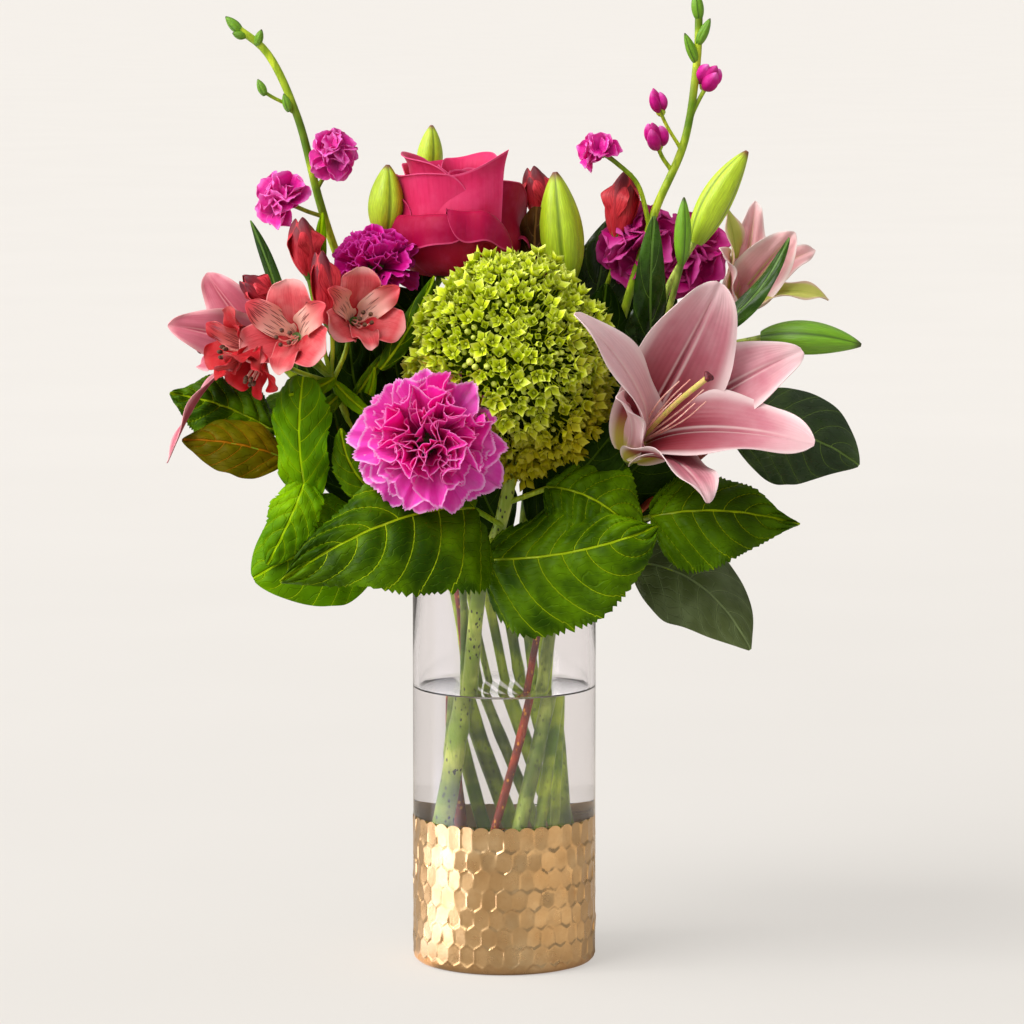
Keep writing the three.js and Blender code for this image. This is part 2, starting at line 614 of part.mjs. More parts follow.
// ---------------------------------------------------------------- the arrangement
// Each piece is cut back by those before it in the list, so stems keep their whole shape and a
// flower, bud or leaf gets a seat where its stem enters it.
const LILY_PINK = 0xd893a0;
const PIECES = [
  { name: "vase_glass", make: vaseGlass, colour: 0xe9e2e2, roughness: 0.05 },
  { name: "gold_band", make: goldBand, colour: 0xc3a069, roughness: 0.35, metalness: 1 },
  ...STEMS.map((s) => ({ ...s, make: (grow) => stem(s, grow) })),
  ...LILY_BUDS.map((b) => ({ ...b, make: (grow) => bud(b, grow), colour: 0xa9c23a })),
  ...LILIES.map((l) => ({ ...l, make: (grow) => lily(l, grow), colour: LILY_PINK })),
  ...CARNATIONS.map((c) => ({ ...c, make: (grow) => carnation(c, grow) })),
  { name: "hydrangea_head", make: hydrangeaHead, colour: 0x97be2a },
  { name: "rose", make: rose, colour: 0xd23c66 },
  ...ALSTROEMERIAS.map((a) => ({ ...a, make: (grow) => lobedFunnel(a, 2 * grow), colour: 0xd8455c })),
  ...STOCK_FLOWERS.map((f) => ({
    ...f,
    make: (grow) => bumpyHead({ ...f, bumps: 6, bump: 0.3, detail: 2 }, grow),
    colour: 0xb3108f,
  })),
  ...LEAVES.map((l) => ({ ...l, make: (grow) => stalkedLeaf(l, grow) })),
];

const near = (a, b) =>
  [0, 1, 2].every((i) => a.min[i] - 1 < b.max[i] && b.min[i] - 1 < a.max[i]);

const centerpiece = new THREE.Group();
const placed = [];

function place({ name, colour, roughness = 0.55, metalness = 0 }, body) {
  const material = new THREE.MeshStandardMaterial({ color: colour, roughness, metalness });
  const mesh = new THREE.Mesh(geometryOf(body), material);
  mesh.name = name;
  centerpiece.add(mesh);
}

for (const piece of PIECES) {
  const whole = piece.make(0);
  const cutters = placed.filter((other) => near(whole.boundingBox(), other.box));
  const cut = cutters.reduce((body, other) => body.subtract(other.grown), whole);
  const body = largestOf(cut).simplify(SLIVER);
  const grown = piece.make(GAP);
  placed.push({ grown, box: grown.boundingBox() });
  place(piece, body);
}

// The water stands round the stems, which pass through it down to the glass.
const stems = STEMS.map((s) => stem(s, GAP, VASE.base));
const standing = largestOf(stems.reduce((body, s) => body.subtract(s), water(0))).simplify(SLIVER);
place({ name: "water", colour: 0xdfe9e6, roughness: 0.05 }, standing);

export default centerpiece;
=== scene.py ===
# A floral table centerpiece: cut flowers and foliage in a clear glass cylinder vase with a hammered
# gold band round its foot. The tables below are in millimetres; meshes and curves are made in metres.
import json
import math

import bpy
import numpy as np
from mathutils import Matrix, Vector

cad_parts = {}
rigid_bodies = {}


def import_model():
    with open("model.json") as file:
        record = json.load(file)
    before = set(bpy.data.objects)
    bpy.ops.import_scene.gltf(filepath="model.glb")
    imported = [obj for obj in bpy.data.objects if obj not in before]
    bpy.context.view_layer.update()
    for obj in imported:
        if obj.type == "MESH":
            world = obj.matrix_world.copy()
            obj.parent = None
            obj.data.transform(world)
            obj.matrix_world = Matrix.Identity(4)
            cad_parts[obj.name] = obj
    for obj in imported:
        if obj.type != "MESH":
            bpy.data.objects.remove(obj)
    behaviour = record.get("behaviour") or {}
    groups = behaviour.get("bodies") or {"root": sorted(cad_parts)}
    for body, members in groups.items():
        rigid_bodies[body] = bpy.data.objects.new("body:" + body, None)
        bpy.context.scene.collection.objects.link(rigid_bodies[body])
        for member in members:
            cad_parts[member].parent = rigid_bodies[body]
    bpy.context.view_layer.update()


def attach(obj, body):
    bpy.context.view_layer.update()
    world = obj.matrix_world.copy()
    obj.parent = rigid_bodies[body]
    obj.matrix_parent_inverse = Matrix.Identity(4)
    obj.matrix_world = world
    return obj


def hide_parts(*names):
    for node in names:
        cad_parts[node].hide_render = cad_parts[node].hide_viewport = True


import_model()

MM = 0.001


# ---------------------------------------------------------------- vectors and paths
def vec(*xyz):
    return np.array(xyz, float)


def unit(v):
    v = np.asarray(v, float)
    return v / np.linalg.norm(v)


def units(vectors):
    """Vectors scaled to length one along their last axis."""
    return vectors / np.linalg.norm(vectors, axis=-1, keepdims=True)


def lerp(a, b, t):
    return np.asarray(a, float) * (1 - t) + np.asarray(b, float) * t


def ring_point(radius, degrees, height):
    a = math.radians(degrees)
    return vec(radius * math.cos(a), radius * math.sin(a), height)


def frame_of(axis, towards=(0.13, 0.31, 0.94)):
    """Two directions across an axis and the axis itself, as the columns of a turn."""
    up = unit(axis)
    across = np.cross(towards, up)
    if np.linalg.norm(across) < 1e-3:
        across = np.cross((1, 0, 0), up)
    across = unit(across)
    return np.column_stack([across, np.cross(up, across), up])


def bezier(points, t):
    """A quadratic or cubic Bezier curve at t, with t of any shape."""
    p = [np.asarray(q, float) for q in points]
    t = np.asarray(t, float)[..., None]
    while len(p) > 1:
        p = [a * (1 - t) + b * t for a, b in zip(p, p[1:])]
    return p[0]


def heading(curve, v):
    """The way a Bezier curve runs at v, from a short step to either side."""
    step = 0.01
    return units(bezier(curve, np.minimum(v + step, 1)) - bezier(curve, np.maximum(v - step, 0)))


def smooth_path(points, count):
    """count points spaced evenly along a centripetal Catmull-Rom curve through points."""
    p = np.array(points, float)
    p = np.vstack([2 * p[0] - p[1], p, 2 * p[-1] - p[-2]])
    knots = np.concatenate([[0], np.cumsum(np.sqrt(np.linalg.norm(np.diff(p, axis=0), axis=1)))])
    pieces = []
    for i in range(1, len(p) - 2):
        k = knots[i - 1:i + 3]
        t = np.linspace(k[1], k[2], 24, endpoint=False)[:, None]

        def between(a, b, ta, tb):
            return (a * (tb - t) + b * (t - ta)) / (tb - ta)

        a = [between(p[i + j - 1], p[i + j], k[j], k[j + 1]) for j in range(3)]
        b = [between(a[j], a[j + 1], k[j], k[j + 2]) for j in range(2)]
        pieces.append(between(b[0], b[1], k[1], k[2]))
    fine = np.vstack([*pieces, p[-2]])
    run = np.concatenate([[0], np.cumsum(np.linalg.norm(np.diff(fine, axis=0), axis=1))])
    return np.column_stack([np.interp(np.linspace(0, run[-1], count), run, fine[:, c]) for c in range(3)])


# ---------------------------------------------------------------- shapes as arrays
class Shape:
    """Points in millimetres and faces, with three pattern numbers and a tone at each point."""

    def __init__(self, points, faces, pattern, tone=0.0, finish=0):
        self.points = np.asarray(points, float)
        self.faces = faces
        self.pattern = np.asarray(pattern, float)
        self.tone = np.full(len(self.points), tone, float)
        self.finish = [finish] * len(faces)

    def turned(self, turn, at):
        self.points = self.points @ np.asarray(turn).T + np.asarray(at)
        return self


def combine(*shapes):
    whole = Shape(np.vstack([s.points for s in shapes]), [], np.vstack([s.pattern for s in shapes]))
    whole.tone = np.concatenate([s.tone for s in shapes])
    start = 0
    for s in shapes:
        whole.faces += [[i + start for i in face] for face in s.faces]
        whole.finish += s.finish
        start += len(s.points)
    return whole


def blade(surface, across, along, thickness, tone=0.0, finish=0, pattern=None):
    """A thin closed sheet. surface(u, v) gives its middle, u from -1 to 1 and v from 0 to 1."""
    u, v = np.meshgrid(np.linspace(-1, 1, across + 1), np.linspace(0, 1, along + 1), indexing="ij")
    middle = surface(u, v)
    normal = np.cross(np.gradient(middle, axis=0), np.gradient(middle, axis=1))
    normal /= np.maximum(np.linalg.norm(normal, axis=-1, keepdims=True), 1e-9)
    half = (thickness / 2 * (1 - 0.5 * np.abs(u) ** 4))[..., None]
    sheets = (middle + normal * half, middle - normal * half)
    points = np.concatenate([sheet.reshape(-1, 3) for sheet in sheets])
    index = np.arange(u.size).reshape(u.shape)
    front = np.stack([index[:-1, :-1], index[1:, :-1], index[1:, 1:], index[:-1, 1:]], -1).reshape(-1, 4)
    edge = np.concatenate([index[:, 0], index[-1, 1:], index[-2::-1, -1], index[0, -2:0:-1]])
    ahead = np.roll(edge, -1)
    rim = np.column_stack([ahead, edge, edge + u.size, ahead + u.size])
    faces = np.concatenate([front, front[:, ::-1] + u.size, rim]).tolist()
    first, second = (u, v) if pattern is None else pattern(u, v)
    flat = np.column_stack([np.ravel(first), np.ravel(second)])
    sides = np.repeat([0.0, 1.0], u.size)[:, None]
    return Shape(points, faces, np.hstack([np.vstack([flat, flat]), sides]), tone, finish)


def stacked_rings(rings, sides):
    """The faces of rings stacked into a closed body, with a flat face at either end."""
    faces = []
    for i in range(rings - 1):
        for j in range(sides):
            k = (j + 1) % sides
            faces.append([i * sides + j, i * sides + k, (i + 1) * sides + k, (i + 1) * sides + j])
    faces.append(list(range(sides))[::-1])
    faces.append([(rings - 1) * sides + j for j in range(sides)])
    return faces


def tube(path, radii, sides=12, swell=None, tone=0.0, finish=0):
    """A closed round bar along a path; swell(angle, t) scales its radius."""
    path = np.asarray(path, float)
    count = len(path)
    tangent = np.gradient(path, axis=0)
    tangent /= np.linalg.norm(tangent, axis=1, keepdims=True)
    side = frame_of(tangent[0])[:, 0]
    t = np.linspace(0, 1, count)
    radii = np.broadcast_to(radii, count)
    angle = np.linspace(0, 2 * math.pi, sides, endpoint=False)
    rings = []
    for i in range(count):
        side = unit(side - tangent[i] * (side @ tangent[i]))
        other = np.cross(tangent[i], side)
        r = radii[i] * (1 if swell is None else swell(angle, t[i]))
        rings.append(path[i] + np.outer(r * np.cos(angle), side) + np.outer(r * np.sin(angle), other))
    around = np.tile(angle / math.pi - 1, count)
    pattern = np.column_stack([around, np.repeat(t, sides), np.zeros(count * sides)])
    return Shape(np.vstack(rings), stacked_rings(count, sides), pattern, tone, finish)


def ring_shell(points):
    """A body that closes on itself both ways: points[i, j] on ring i at place j round it."""
    rows, columns = points.shape[:2]
    index = np.arange(rows * columns).reshape(rows, columns)
    right, up = np.roll(index, -1, axis=1), np.roll(index, -1, axis=0)
    faces = np.stack([index, right, np.roll(up, -1, axis=1), up], -1).reshape(-1, 4).tolist()
    return Shape(points.reshape(-1, 3), faces, np.zeros((rows * columns, 3)))


def lathe(profile, columns):
    """A solid turned round the vase's axis from a profile that starts and ends on the axis."""
    inner = profile[1:-1]
    angle = np.linspace(0, 2 * math.pi, columns, endpoint=False)
    rings = [np.column_stack([r * np.cos(angle), r * np.sin(angle), np.full(columns, z)]) for r, z in inner]
    return Shape(np.vstack(rings), stacked_rings(len(inner), columns), np.zeros((len(inner) * columns, 3)))


def rounded(corner, radius, start, stop, steps=6):
    """Profile points on an arc about a corner's centre, from start to stop degrees."""
    a = np.radians(np.linspace(start, stop, steps))
    return [(corner[0] + radius * math.cos(x), corner[1] + radius * math.sin(x)) for x in a]


# ---------------------------------------------------------------- meshes and pieces
def make_mesh(name, shape, finishes, crease=48, with_tone=True):
    mesh = bpy.data.meshes.new(name)
    mesh.from_pydata((shape.points * MM).tolist(), [], shape.faces)
    pattern = mesh.attributes.new("pattern", "FLOAT_VECTOR", "POINT")
    pattern.data.foreach_set("vector", shape.pattern.astype(np.float32).ravel())
    if with_tone:
        tone = mesh.attributes.new("tone", "FLOAT", "POINT")
        tone.data.foreach_set("value", shape.tone.astype(np.float32))
    for finish in finishes:
        mesh.materials.append(finish)
    mesh.polygons.foreach_set("material_index", shape.finish)
    mesh.shade_smooth()
    mesh.set_sharp_from_angle(angle=math.radians(crease))
    return mesh


def add_object(name, data):
    made = bpy.data.objects.new(name, data)
    bpy.context.scene.collection.objects.link(made)
    return made


def place(name, mesh, slot, *nodes):
    piece = add_object(name, mesh)
    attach(piece, "root")
    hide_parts(*nodes)
    return piece


def place_shape(name, shape, finishes, slot, *nodes, crease=48):
    return place(name, make_mesh(name, shape, finishes, crease), slot, *nodes)


# ---------------------------------------------------------------- node graphs
class Graph:
    """A node tree that is built up one node at a time."""

    def __init__(self, tree):
        self.tree = tree

    def put(self, socket, value):
        if isinstance(value, bpy.types.NodeSocket):
            self.tree.links.new(value, socket)
        else:
            socket.default_value = value

    def add(self, kind, inputs=None, output=0, **settings):
        made = self.tree.nodes.new(kind)
        for key, value in settings.items():
            setattr(made, key, value)
        for key, value in (inputs or {}).items():
            self.put(made.inputs[key], value)
        return made.outputs[output]

    def calc(self, operation, *values):
        return self.add("ShaderNodeMath", dict(enumerate(values)), operation=operation)

    def times(self, a, b):
        return self.calc("MULTIPLY", a, b)

    def plus(self, a, b):
        return self.calc("ADD", a, b)

    def minus(self, a, b):
        return self.calc("SUBTRACT", a, b)

    def absolute(self, a):
        return self.calc("ABSOLUTE", a)

    def between(self, share, a, b):
        """The number that lies between a and b by share."""
        return self.add("ShaderNodeMix", {0: share, 2: a, 3: b}, data_type="FLOAT")

    def span(self, value, low, high, to_low=0.0, to_high=1.0):
        """A value from low to high turned smoothly to one from to_low to to_high."""
        return self.add("ShaderNodeMapRange", {
            "Value": value, "From Min": low, "From Max": high, "To Min": to_low, "To Max": to_high},
            interpolation_type="SMOOTHSTEP")

    def dot(self, vector, way):
        """How far a vector reaches in some way."""
        return self.add("ShaderNodeVectorMath", {0: vector, 1: tuple(way)}, output="Value",
                        operation="DOT_PRODUCT")

    def ray(self, kind):
        """1 for light rays of a kind, such as Camera or Glossy, and 0 for others."""
        return self.add("ShaderNodeLightPath", output=f"Is {kind} Ray")


class Maker(Graph):
    """A geometry tree with named inputs, which turns a source object into a plain mesh."""

    def __init__(self, name, sockets):
        super().__init__(bpy.data.node_groups.new(name, "GeometryNodeTree"))
        face = self.tree.interface
        face.new_socket("Geometry", in_out="INPUT", socket_type="NodeSocketGeometry")
        self.sockets = {
            key: face.new_socket(key, in_out="INPUT", socket_type="NodeSocket" + kind).identifier
            for key, kind in sockets.items()
        }
        face.new_socket("Geometry", in_out="OUTPUT", socket_type="NodeSocketGeometry")
        self.given = self.tree.nodes.new("NodeGroupInput").outputs
        self.result = self.tree.nodes.new("NodeGroupOutput").inputs[0]

    def named(self, name, kind="FLOAT"):
        return self.add("GeometryNodeInputNamedAttribute", {"Name": name}, data_type=kind)

    def end(self, geometry):
        """Realizes the instances, smooths them and gives them the finish."""
        real = self.add("GeometryNodeRealizeInstances", {0: geometry})
        smooth = self.add("GeometryNodeSetShadeSmooth", {0: real})
        finished = self.add("GeometryNodeSetMaterial", {0: smooth, "Material": self.given["Finish"]})
        self.put(self.result, finished)

    def run(self, name, data, values):
        """The mesh that the tree makes from data with these input values."""
        source = add_object(name + ".source", data)
        modifier = source.modifiers.new("maker", "NODES")
        modifier.node_group = self.tree
        for key, value in values.items():
            modifier[self.sockets[key]] = value
        graph = bpy.context.evaluated_depsgraph_get()
        mesh = bpy.data.meshes.new_from_object(source.evaluated_get(graph))
        mesh.name = name
        bpy.data.objects.remove(source)
        return mesh


def make_stem_maker():
    """Round stems along curves, as thick at each point as the curve's radius."""
    maker = Maker("stem_maker", {"Sides": "Int", "Finish": "Material"})
    ring = maker.add("GeometryNodeCurvePrimitiveCircle", {"Resolution": maker.given["Sides"], "Radius": 1.0})
    maker.end(maker.add("GeometryNodeCurveToMesh", {
        "Curve": maker.given["Geometry"],
        "Profile Curve": ring,
        "Scale": maker.add("GeometryNodeInputRadius"),
        "Fill Caps": True,
    }))
    return maker


def make_petal_setter():
    """A chosen petal on each point, turned and sized by the point's own values."""
    maker = Maker("petal_setter", {"Petals": "Collection", "Finish": "Material"})
    petals = maker.add("GeometryNodeCollectionInfo", {
        "Collection": maker.given["Petals"], "Separate Children": True, "Reset Children": True})
    turn = maker.add("FunctionNodeEulerToRotation", {0: maker.named("turn", "FLOAT_VECTOR")})
    maker.end(maker.add("GeometryNodeInstanceOnPoints", {
        "Points": maker.given["Geometry"],
        "Instance": petals,
        "Pick Instance": True,
        "Instance Index": maker.named("pick", "INT"),
        "Rotation": turn,
        "Scale": maker.named("size"),
    }))
    return maker


def make_floret_sower():
    """Florets sown over a surface no nearer than Spacing, standing on it with a random turn and lean."""
    maker = Maker("floret_sower", {
        "Florets": "Collection", "Finish": "Material", "Spacing": "Float", "Seed": "Int",
        "Smallest": "Float", "Largest": "Float", "Lean": "Float", "Kinds": "Int"})
    given = maker.given
    sown = maker.tree.nodes.new("GeometryNodeDistributePointsOnFaces")
    sown.distribute_method = "POISSON"
    maker.put(sown.inputs["Mesh"], given["Geometry"])
    maker.put(sown.inputs["Distance Min"], given["Spacing"])
    maker.put(sown.inputs["Density Max"], 2e6)
    maker.put(sown.inputs["Seed"], given["Seed"])
    florets = maker.add("GeometryNodeCollectionInfo", {
        "Collection": given["Florets"], "Separate Children": True, "Reset Children": True})

    def chance(kind, low, high, seed, output):
        node = maker.tree.nodes.new("FunctionNodeRandomValue")
        node.data_type = kind
        sockets = {"FLOAT": ("Min_001", "Max_001"), "INT": ("Min_002", "Max_002")}[kind]
        for socket in node.inputs:
            if socket.identifier in sockets:
                maker.put(socket, low if socket.identifier == sockets[0] else high)
        maker.put(node.inputs["Seed"], maker.plus(given["Seed"], seed))
        return next(s for s in node.outputs if s.identifier == output)

    other_way = maker.times(given["Lean"], -1.0)
    lean = chance("FLOAT", other_way, given["Lean"], 1, "Value_001")
    tip = chance("FLOAT", other_way, given["Lean"], 2, "Value_001")
    spin = chance("FLOAT", 0.0, 2 * math.pi, 3, "Value_001")
    angles = maker.add("ShaderNodeCombineXYZ", {"X": lean, "Y": tip, "Z": spin})
    turn = maker.add("FunctionNodeRotateRotation", {
        0: sown.outputs["Rotation"],
        1: maker.add("FunctionNodeEulerToRotation", {0: angles}),
    }, rotation_space="LOCAL")
    last = maker.minus(given["Kinds"], 1)
    standing = maker.add("GeometryNodeInstanceOnPoints", {
        "Points": sown.outputs["Points"],
        "Instance": florets,
        "Pick Instance": True,
        "Instance Index": chance("INT", 0, last, 4, "Value_002"),
        "Rotation": turn,
        "Scale": chance("FLOAT", given["Smallest"], given["Largest"], 5, "Value_001"),
    })
    maker.end(maker.add("GeometryNodeStoreNamedAttribute", {
        "Geometry": standing, "Name": "tone", "Value": chance("FLOAT", 0.0, 1.0, 6, "Value_001"),
    }, data_type="FLOAT", domain="INSTANCE"))
    return maker


STEM_MAKER = make_stem_maker()
PETAL_SETTER = make_petal_setter()
FLORET_SOWER = make_floret_sower()


def bunch_of(name, shapes, finish, crease=48):
    """A collection of petals or florets to set on points; it isn't part of the scene itself."""
    group = bpy.data.collections.new(name)
    for i, shape in enumerate(shapes):
        mesh = make_mesh(f"{name}.{i}", shape, [finish], crease, with_tone=False)
        group.objects.link(bpy.data.objects.new(f"{name}.{i}", mesh))
    return group


def set_petals(name, places, petals, finish):
    """The mesh of petals at places: each a point in millimetres, a turn, a size, a kind and a tone."""
    mesh = bpy.data.meshes.new(name + ".points")
    mesh.from_pydata([(np.asarray(p["at"]) * MM).tolist() for p in places], [], [])
    turns = [list(Matrix(p["turn"].tolist()).to_euler()) for p in places]
    mesh.attributes.new("turn", "FLOAT_VECTOR", "POINT").data.foreach_set("vector", np.ravel(turns))
    for key, kind in (("size", "FLOAT"), ("tone", "FLOAT"), ("pick", "INT")):
        mesh.attributes.new(key, kind, "POINT").data.foreach_set("value", [p[key] for p in places])
    return PETAL_SETTER.run(name, mesh, {"Petals": petals, "Finish": finish})


# ---------------------------------------------------------------- finishes
def rgb(red, green, blue):
    """A colour as seen on a screen, 0 to 255, turned to the linear light that shaders use."""
    c = np.array([red, green, blue]) / 255
    linear = np.where(c <= 0.04045, c / 12.92, ((c + 0.055) / 1.055) ** 2.4)
    return (*linear.tolist(), 1.0)


def scaled(colour, by):
    return (*[min(c * by, 1.0) for c in colour[:3]], 1.0)


class Finish(Graph):
    """A material built round one Principled shader."""

    def __init__(self, name, **values):
        self.material = bpy.data.materials.new(name)
        self.material.use_nodes = True
        super().__init__(self.material.node_tree)
        self.skin = self.tree.nodes["Principled BSDF"]
        self.output = self.tree.nodes["Material Output"]
        for key, value in values.items():
            self.skin.inputs[key.replace("_", " ")].default_value = value

    def drive(self, **values):
        for key, value in values.items():
            self.put(self.skin.inputs[key.replace("_", " ")], value)

    def here(self):
        """The shaded point, in the object's own metres."""
        return self.add("ShaderNodeTexCoord", output="Object")

    def place(self, stretch=(1, 1, 1)):
        return self.add("ShaderNodeMapping", {"Vector": self.here(), "Scale": stretch})

    def joined(self, x, y, z=0.0):
        return self.add("ShaderNodeCombineXYZ", {"X": x, "Y": y, "Z": z})

    def parts(self, vector):
        """A vector's X, Y and Z."""
        node = self.tree.nodes.new("ShaderNodeSeparateXYZ")
        self.put(node.inputs[0], vector)
        return node.outputs

    def noise(self, scale, detail=3.0, stretch=(1, 1, 1), vector=None):
        vector = vector or self.place(stretch)
        return self.add("ShaderNodeTexNoise", {
            "Vector": vector, "Scale": scale, "Detail": detail, "Roughness": 0.55})

    def pattern(self):
        """The three pattern numbers that each point carries."""
        return self.parts(self.add("ShaderNodeAttribute", output="Vector", attribute_name="pattern"))

    def tone(self):
        return self.add("ShaderNodeAttribute", output="Fac", attribute_name="tone")

    def mix(self, factor, a, b):
        """The colour that lies between a and b by factor."""
        return self.add("ShaderNodeMix", {0: factor, 6: a, 7: b}, output=2, data_type="RGBA")

    def ramp(self, value, *stops):
        node = self.tree.nodes.new("ShaderNodeValToRGB")
        ends = node.color_ramp.elements
        for i, (where, colour) in enumerate(stops):
            element = ends[i] if i < 2 else ends.new(where)
            element.position = where
            element.color = colour
        self.put(node.inputs[0], value)
        return node.outputs[0]

    def bump(self, height, distance, strength=1.0, under=None):
        inputs = {"Height": height, "Distance": distance, "Strength": strength}
        if under:
            inputs["Normal"] = under
        return self.add("ShaderNodeBump", inputs)

    def let_light_through(self, share, colour):
        """Part of the light that falls on one side of a leaf or petal comes out of the other."""
        through = self.add("ShaderNodeBsdfTranslucent", {"Color": colour})
        both = self.add("ShaderNodeMixShader", {0: share, 1: self.skin.outputs[0], 2: through})
        self.put(self.output.inputs["Surface"], both)


def clear_finish(name, tint, ior):
    """Glass or water; lamps shine through it, so what stands in it isn't in the dark."""
    finish = Finish(name)
    clear = finish.add("ShaderNodeBsdfGlass", {"Color": tint, "Roughness": 0.0, "IOR": ior})
    lamp = finish.add("ShaderNodeBsdfTransparent", {"Color": tint})
    both = finish.add("ShaderNodeMixShader", {0: finish.ray("Shadow"), 1: clear, 2: lamp})
    finish.put(finish.output.inputs["Surface"], both)
    finish.tree.nodes.remove(finish.skin)
    return finish.material


def gold_finish():
    """Beaten gold leaf: slow patches, small flakes and fine wrinkles."""
    finish = Finish("hammered_gold_leaf", Metallic=1.0, Coat_Weight=0.3, Coat_Roughness=0.25)
    patches = finish.noise(55, 4)
    flakes = finish.noise(420, 3)
    golds = ((0.3, rgb(194, 154, 104)), (0.55, rgb(206, 170, 122)), (0.72, rgb(216, 184, 138)))
    colour = finish.ramp(patches, *golds)
    colour = finish.mix(finish.span(flakes, 0.55, 0.72, 0.0, 0.2), colour, rgb(170, 124, 78))
    wrinkles = finish.noise(260, 5, (1, 1, 0.6))
    finish.drive(
        Base_Color=colour,
        Roughness=finish.span(finish.noise(130, 3), 0.3, 0.7, 0.26, 0.38),
        Normal=finish.bump(finish.noise(900, 2), 0.0001, 0.4, finish.bump(wrinkles, 0.0003, 0.4)),
    )
    return finish.material


def stem_finish(name, base, deep, speck, specks):
    """A stem's skin: fine lengthwise streaks, slow patches, and specks where there are any."""
    finish = Finish(name, Roughness=0.4, Specular_IOR_Level=0.35)
    streaks = finish.noise(420, 3, (1, 1, 0.06))
    patches = finish.noise(45, 2)
    colour = finish.mix(finish.span(patches, 0.35, 0.7), base, deep)
    colour = finish.mix(finish.span(streaks, 0.4, 0.7, 0.0, 0.6), colour, deep)
    colour = finish.mix(finish.span(finish.noise(32, 3), 0.46, 0.62, 0.0, 0.6), colour, scaled(deep, 0.45))
    spots = finish.add("ShaderNodeTexVoronoi", {"Vector": finish.place((1, 1, 0.55)), "Scale": 420.0})
    marks = finish.times(finish.span(spots, 0.3, 0.2), finish.span(finish.noise(60, 2), 0.4, 0.5))
    finish.drive(
        Base_Color=finish.mix(finish.times(marks, specks), colour, speck),
        Normal=finish.bump(streaks, 0.0004, 0.5),
    )
    return finish.material


def leaf_finish(name, upper, bright, vein, under, gloss=0.42, tertiary=1.0, shine=0.12):
    """A leaf with a midrib, side veins that curve to the tip and a net of small veins."""
    finish = Finish(name, Specular_IOR_Level=shine)
    from_midrib, phase, back = finish.pattern()
    other_side = finish.calc("GREATER_THAN", from_midrib, 0.0)
    shifted = finish.plus(phase, finish.times(other_side, 0.5))
    # distance from the nearest side vein, in parts of the space between two of them
    to_vein = finish.absolute(finish.minus(finish.calc("FRACT", shifted), 0.5))
    to_vein = finish.minus(0.5, to_vein)
    side_vein = finish.span(to_vein, 0.038, 0.01)
    midrib = finish.span(finish.absolute(from_midrib), 0.95, 0.4)
    veins = finish.calc("MAXIMUM", side_vein, midrib)
    # cross veins like rungs between the side veins, bent by a slow unevenness
    unevenness = finish.times(finish.noise(70, 2), 4.0)
    rung = finish.plus(finish.times(from_midrib, 0.26), unevenness)
    to_rung = finish.absolute(finish.minus(finish.calc("FRACT", rung), 0.5))
    rungs = finish.times(finish.span(to_rung, 0.1, 0.02), 0.3 * tertiary)
    patches = finish.noise(24, 4)
    body = finish.mix(finish.span(patches, 0.4, 0.64), upper, bright)
    body = finish.mix(finish.times(finish.tone(), 0.8), body, bright)
    body = finish.mix(finish.span(to_vein, 0.3, 0.04, 0.0, 0.35), body, bright)
    shade = finish.span(finish.noise(20, 3), 0.38, 0.56, 0.55, 0.0)
    body = finish.mix(rungs, body, bright)
    body = finish.mix(shade, body, scaled(upper, 0.45))
    top = finish.mix(finish.times(veins, 0.95), body, vein)
    below = finish.mix(finish.times(veins, 0.6), under, vein)
    colour = finish.mix(back, top, below)
    rise = finish.minus(1.0, finish.calc("MAXIMUM", veins, rungs))
    finish.drive(
        Base_Color=colour,
        Roughness=finish.span(finish.noise(300, 2), 0.3, 0.7, gloss - 0.08, gloss + 0.1),
        Normal=finish.bump(finish.noise(520, 3), 0.0003, 0.4, finish.bump(rise, 0.0012, 0.8)),
    )
    finish.let_light_through(0.1, finish.mix(0.5, colour, bright))
    return finish.material


def lily_finish(name, pale, rose, throat, ridge, margin, depth=0.0, tip_from=0.86):
    """A waxy petal: yellow-green throat, rose stripe, paler margin, long fine ribs.

    depth is how dark its lower part is; a petal whose tone is 1 is painted paler, a painted light on a petal
    in shade, and has no dark part."""
    finish = Finish(name, Roughness=0.42, Specular_IOR_Level=0.35)
    across, along, _ = finish.pattern()
    off = finish.absolute(across)
    patches = finish.noise(55, 4)
    body = finish.mix(finish.span(patches, 0.35, 0.7, 0.0, 0.5), pale, rose)
    inner = finish.times(finish.span(along, 0.9, 0.15), finish.span(off, 0.9, 0.15))
    body = finish.mix(finish.times(inner, 0.9), body, rose)
    tone = finish.tone()
    # tone 1 takes away the dark lower part and paints the petal paler: painted light on a petal that stands
    # in shade
    low = finish.times(finish.span(along, 0.84, 0.25, 0.0, depth), finish.span(tone, 1.0, 0.0))
    body = finish.mix(low, body, rgb(140, 26, 36))
    body = finish.mix(finish.times(tone, 0.5), body, margin)
    body = finish.mix(finish.span(along, 0.2, 0.04), body, throat)
    ribs = finish.add("ShaderNodeTexWave", {
        "Vector": finish.joined(across, finish.times(along, 0.12)), "Scale": 2.6, "Distortion": 2.6,
        "Detail": 3.0}, output="Fac")
    body = finish.mix(finish.times(ribs, 0.06), body, rose)
    body = finish.mix(finish.span(off, 0.7, 1.0, 0.0, 0.85), body, margin)
    body = finish.mix(finish.span(along, tip_from, 1.0, 0.0, 0.6), body, margin)
    line = finish.span(finish.absolute(finish.minus(off, 0.09)), 0.05, 0.0)
    line = finish.times(line, finish.span(along, 0.98, 0.6))
    colour = finish.mix(finish.times(line, 0.6), body, ridge)
    finish.drive(Base_Color=colour, Normal=finish.bump(ribs, 0.0003, 0.25))
    finish.let_light_through(0.2, colour)
    return finish.material


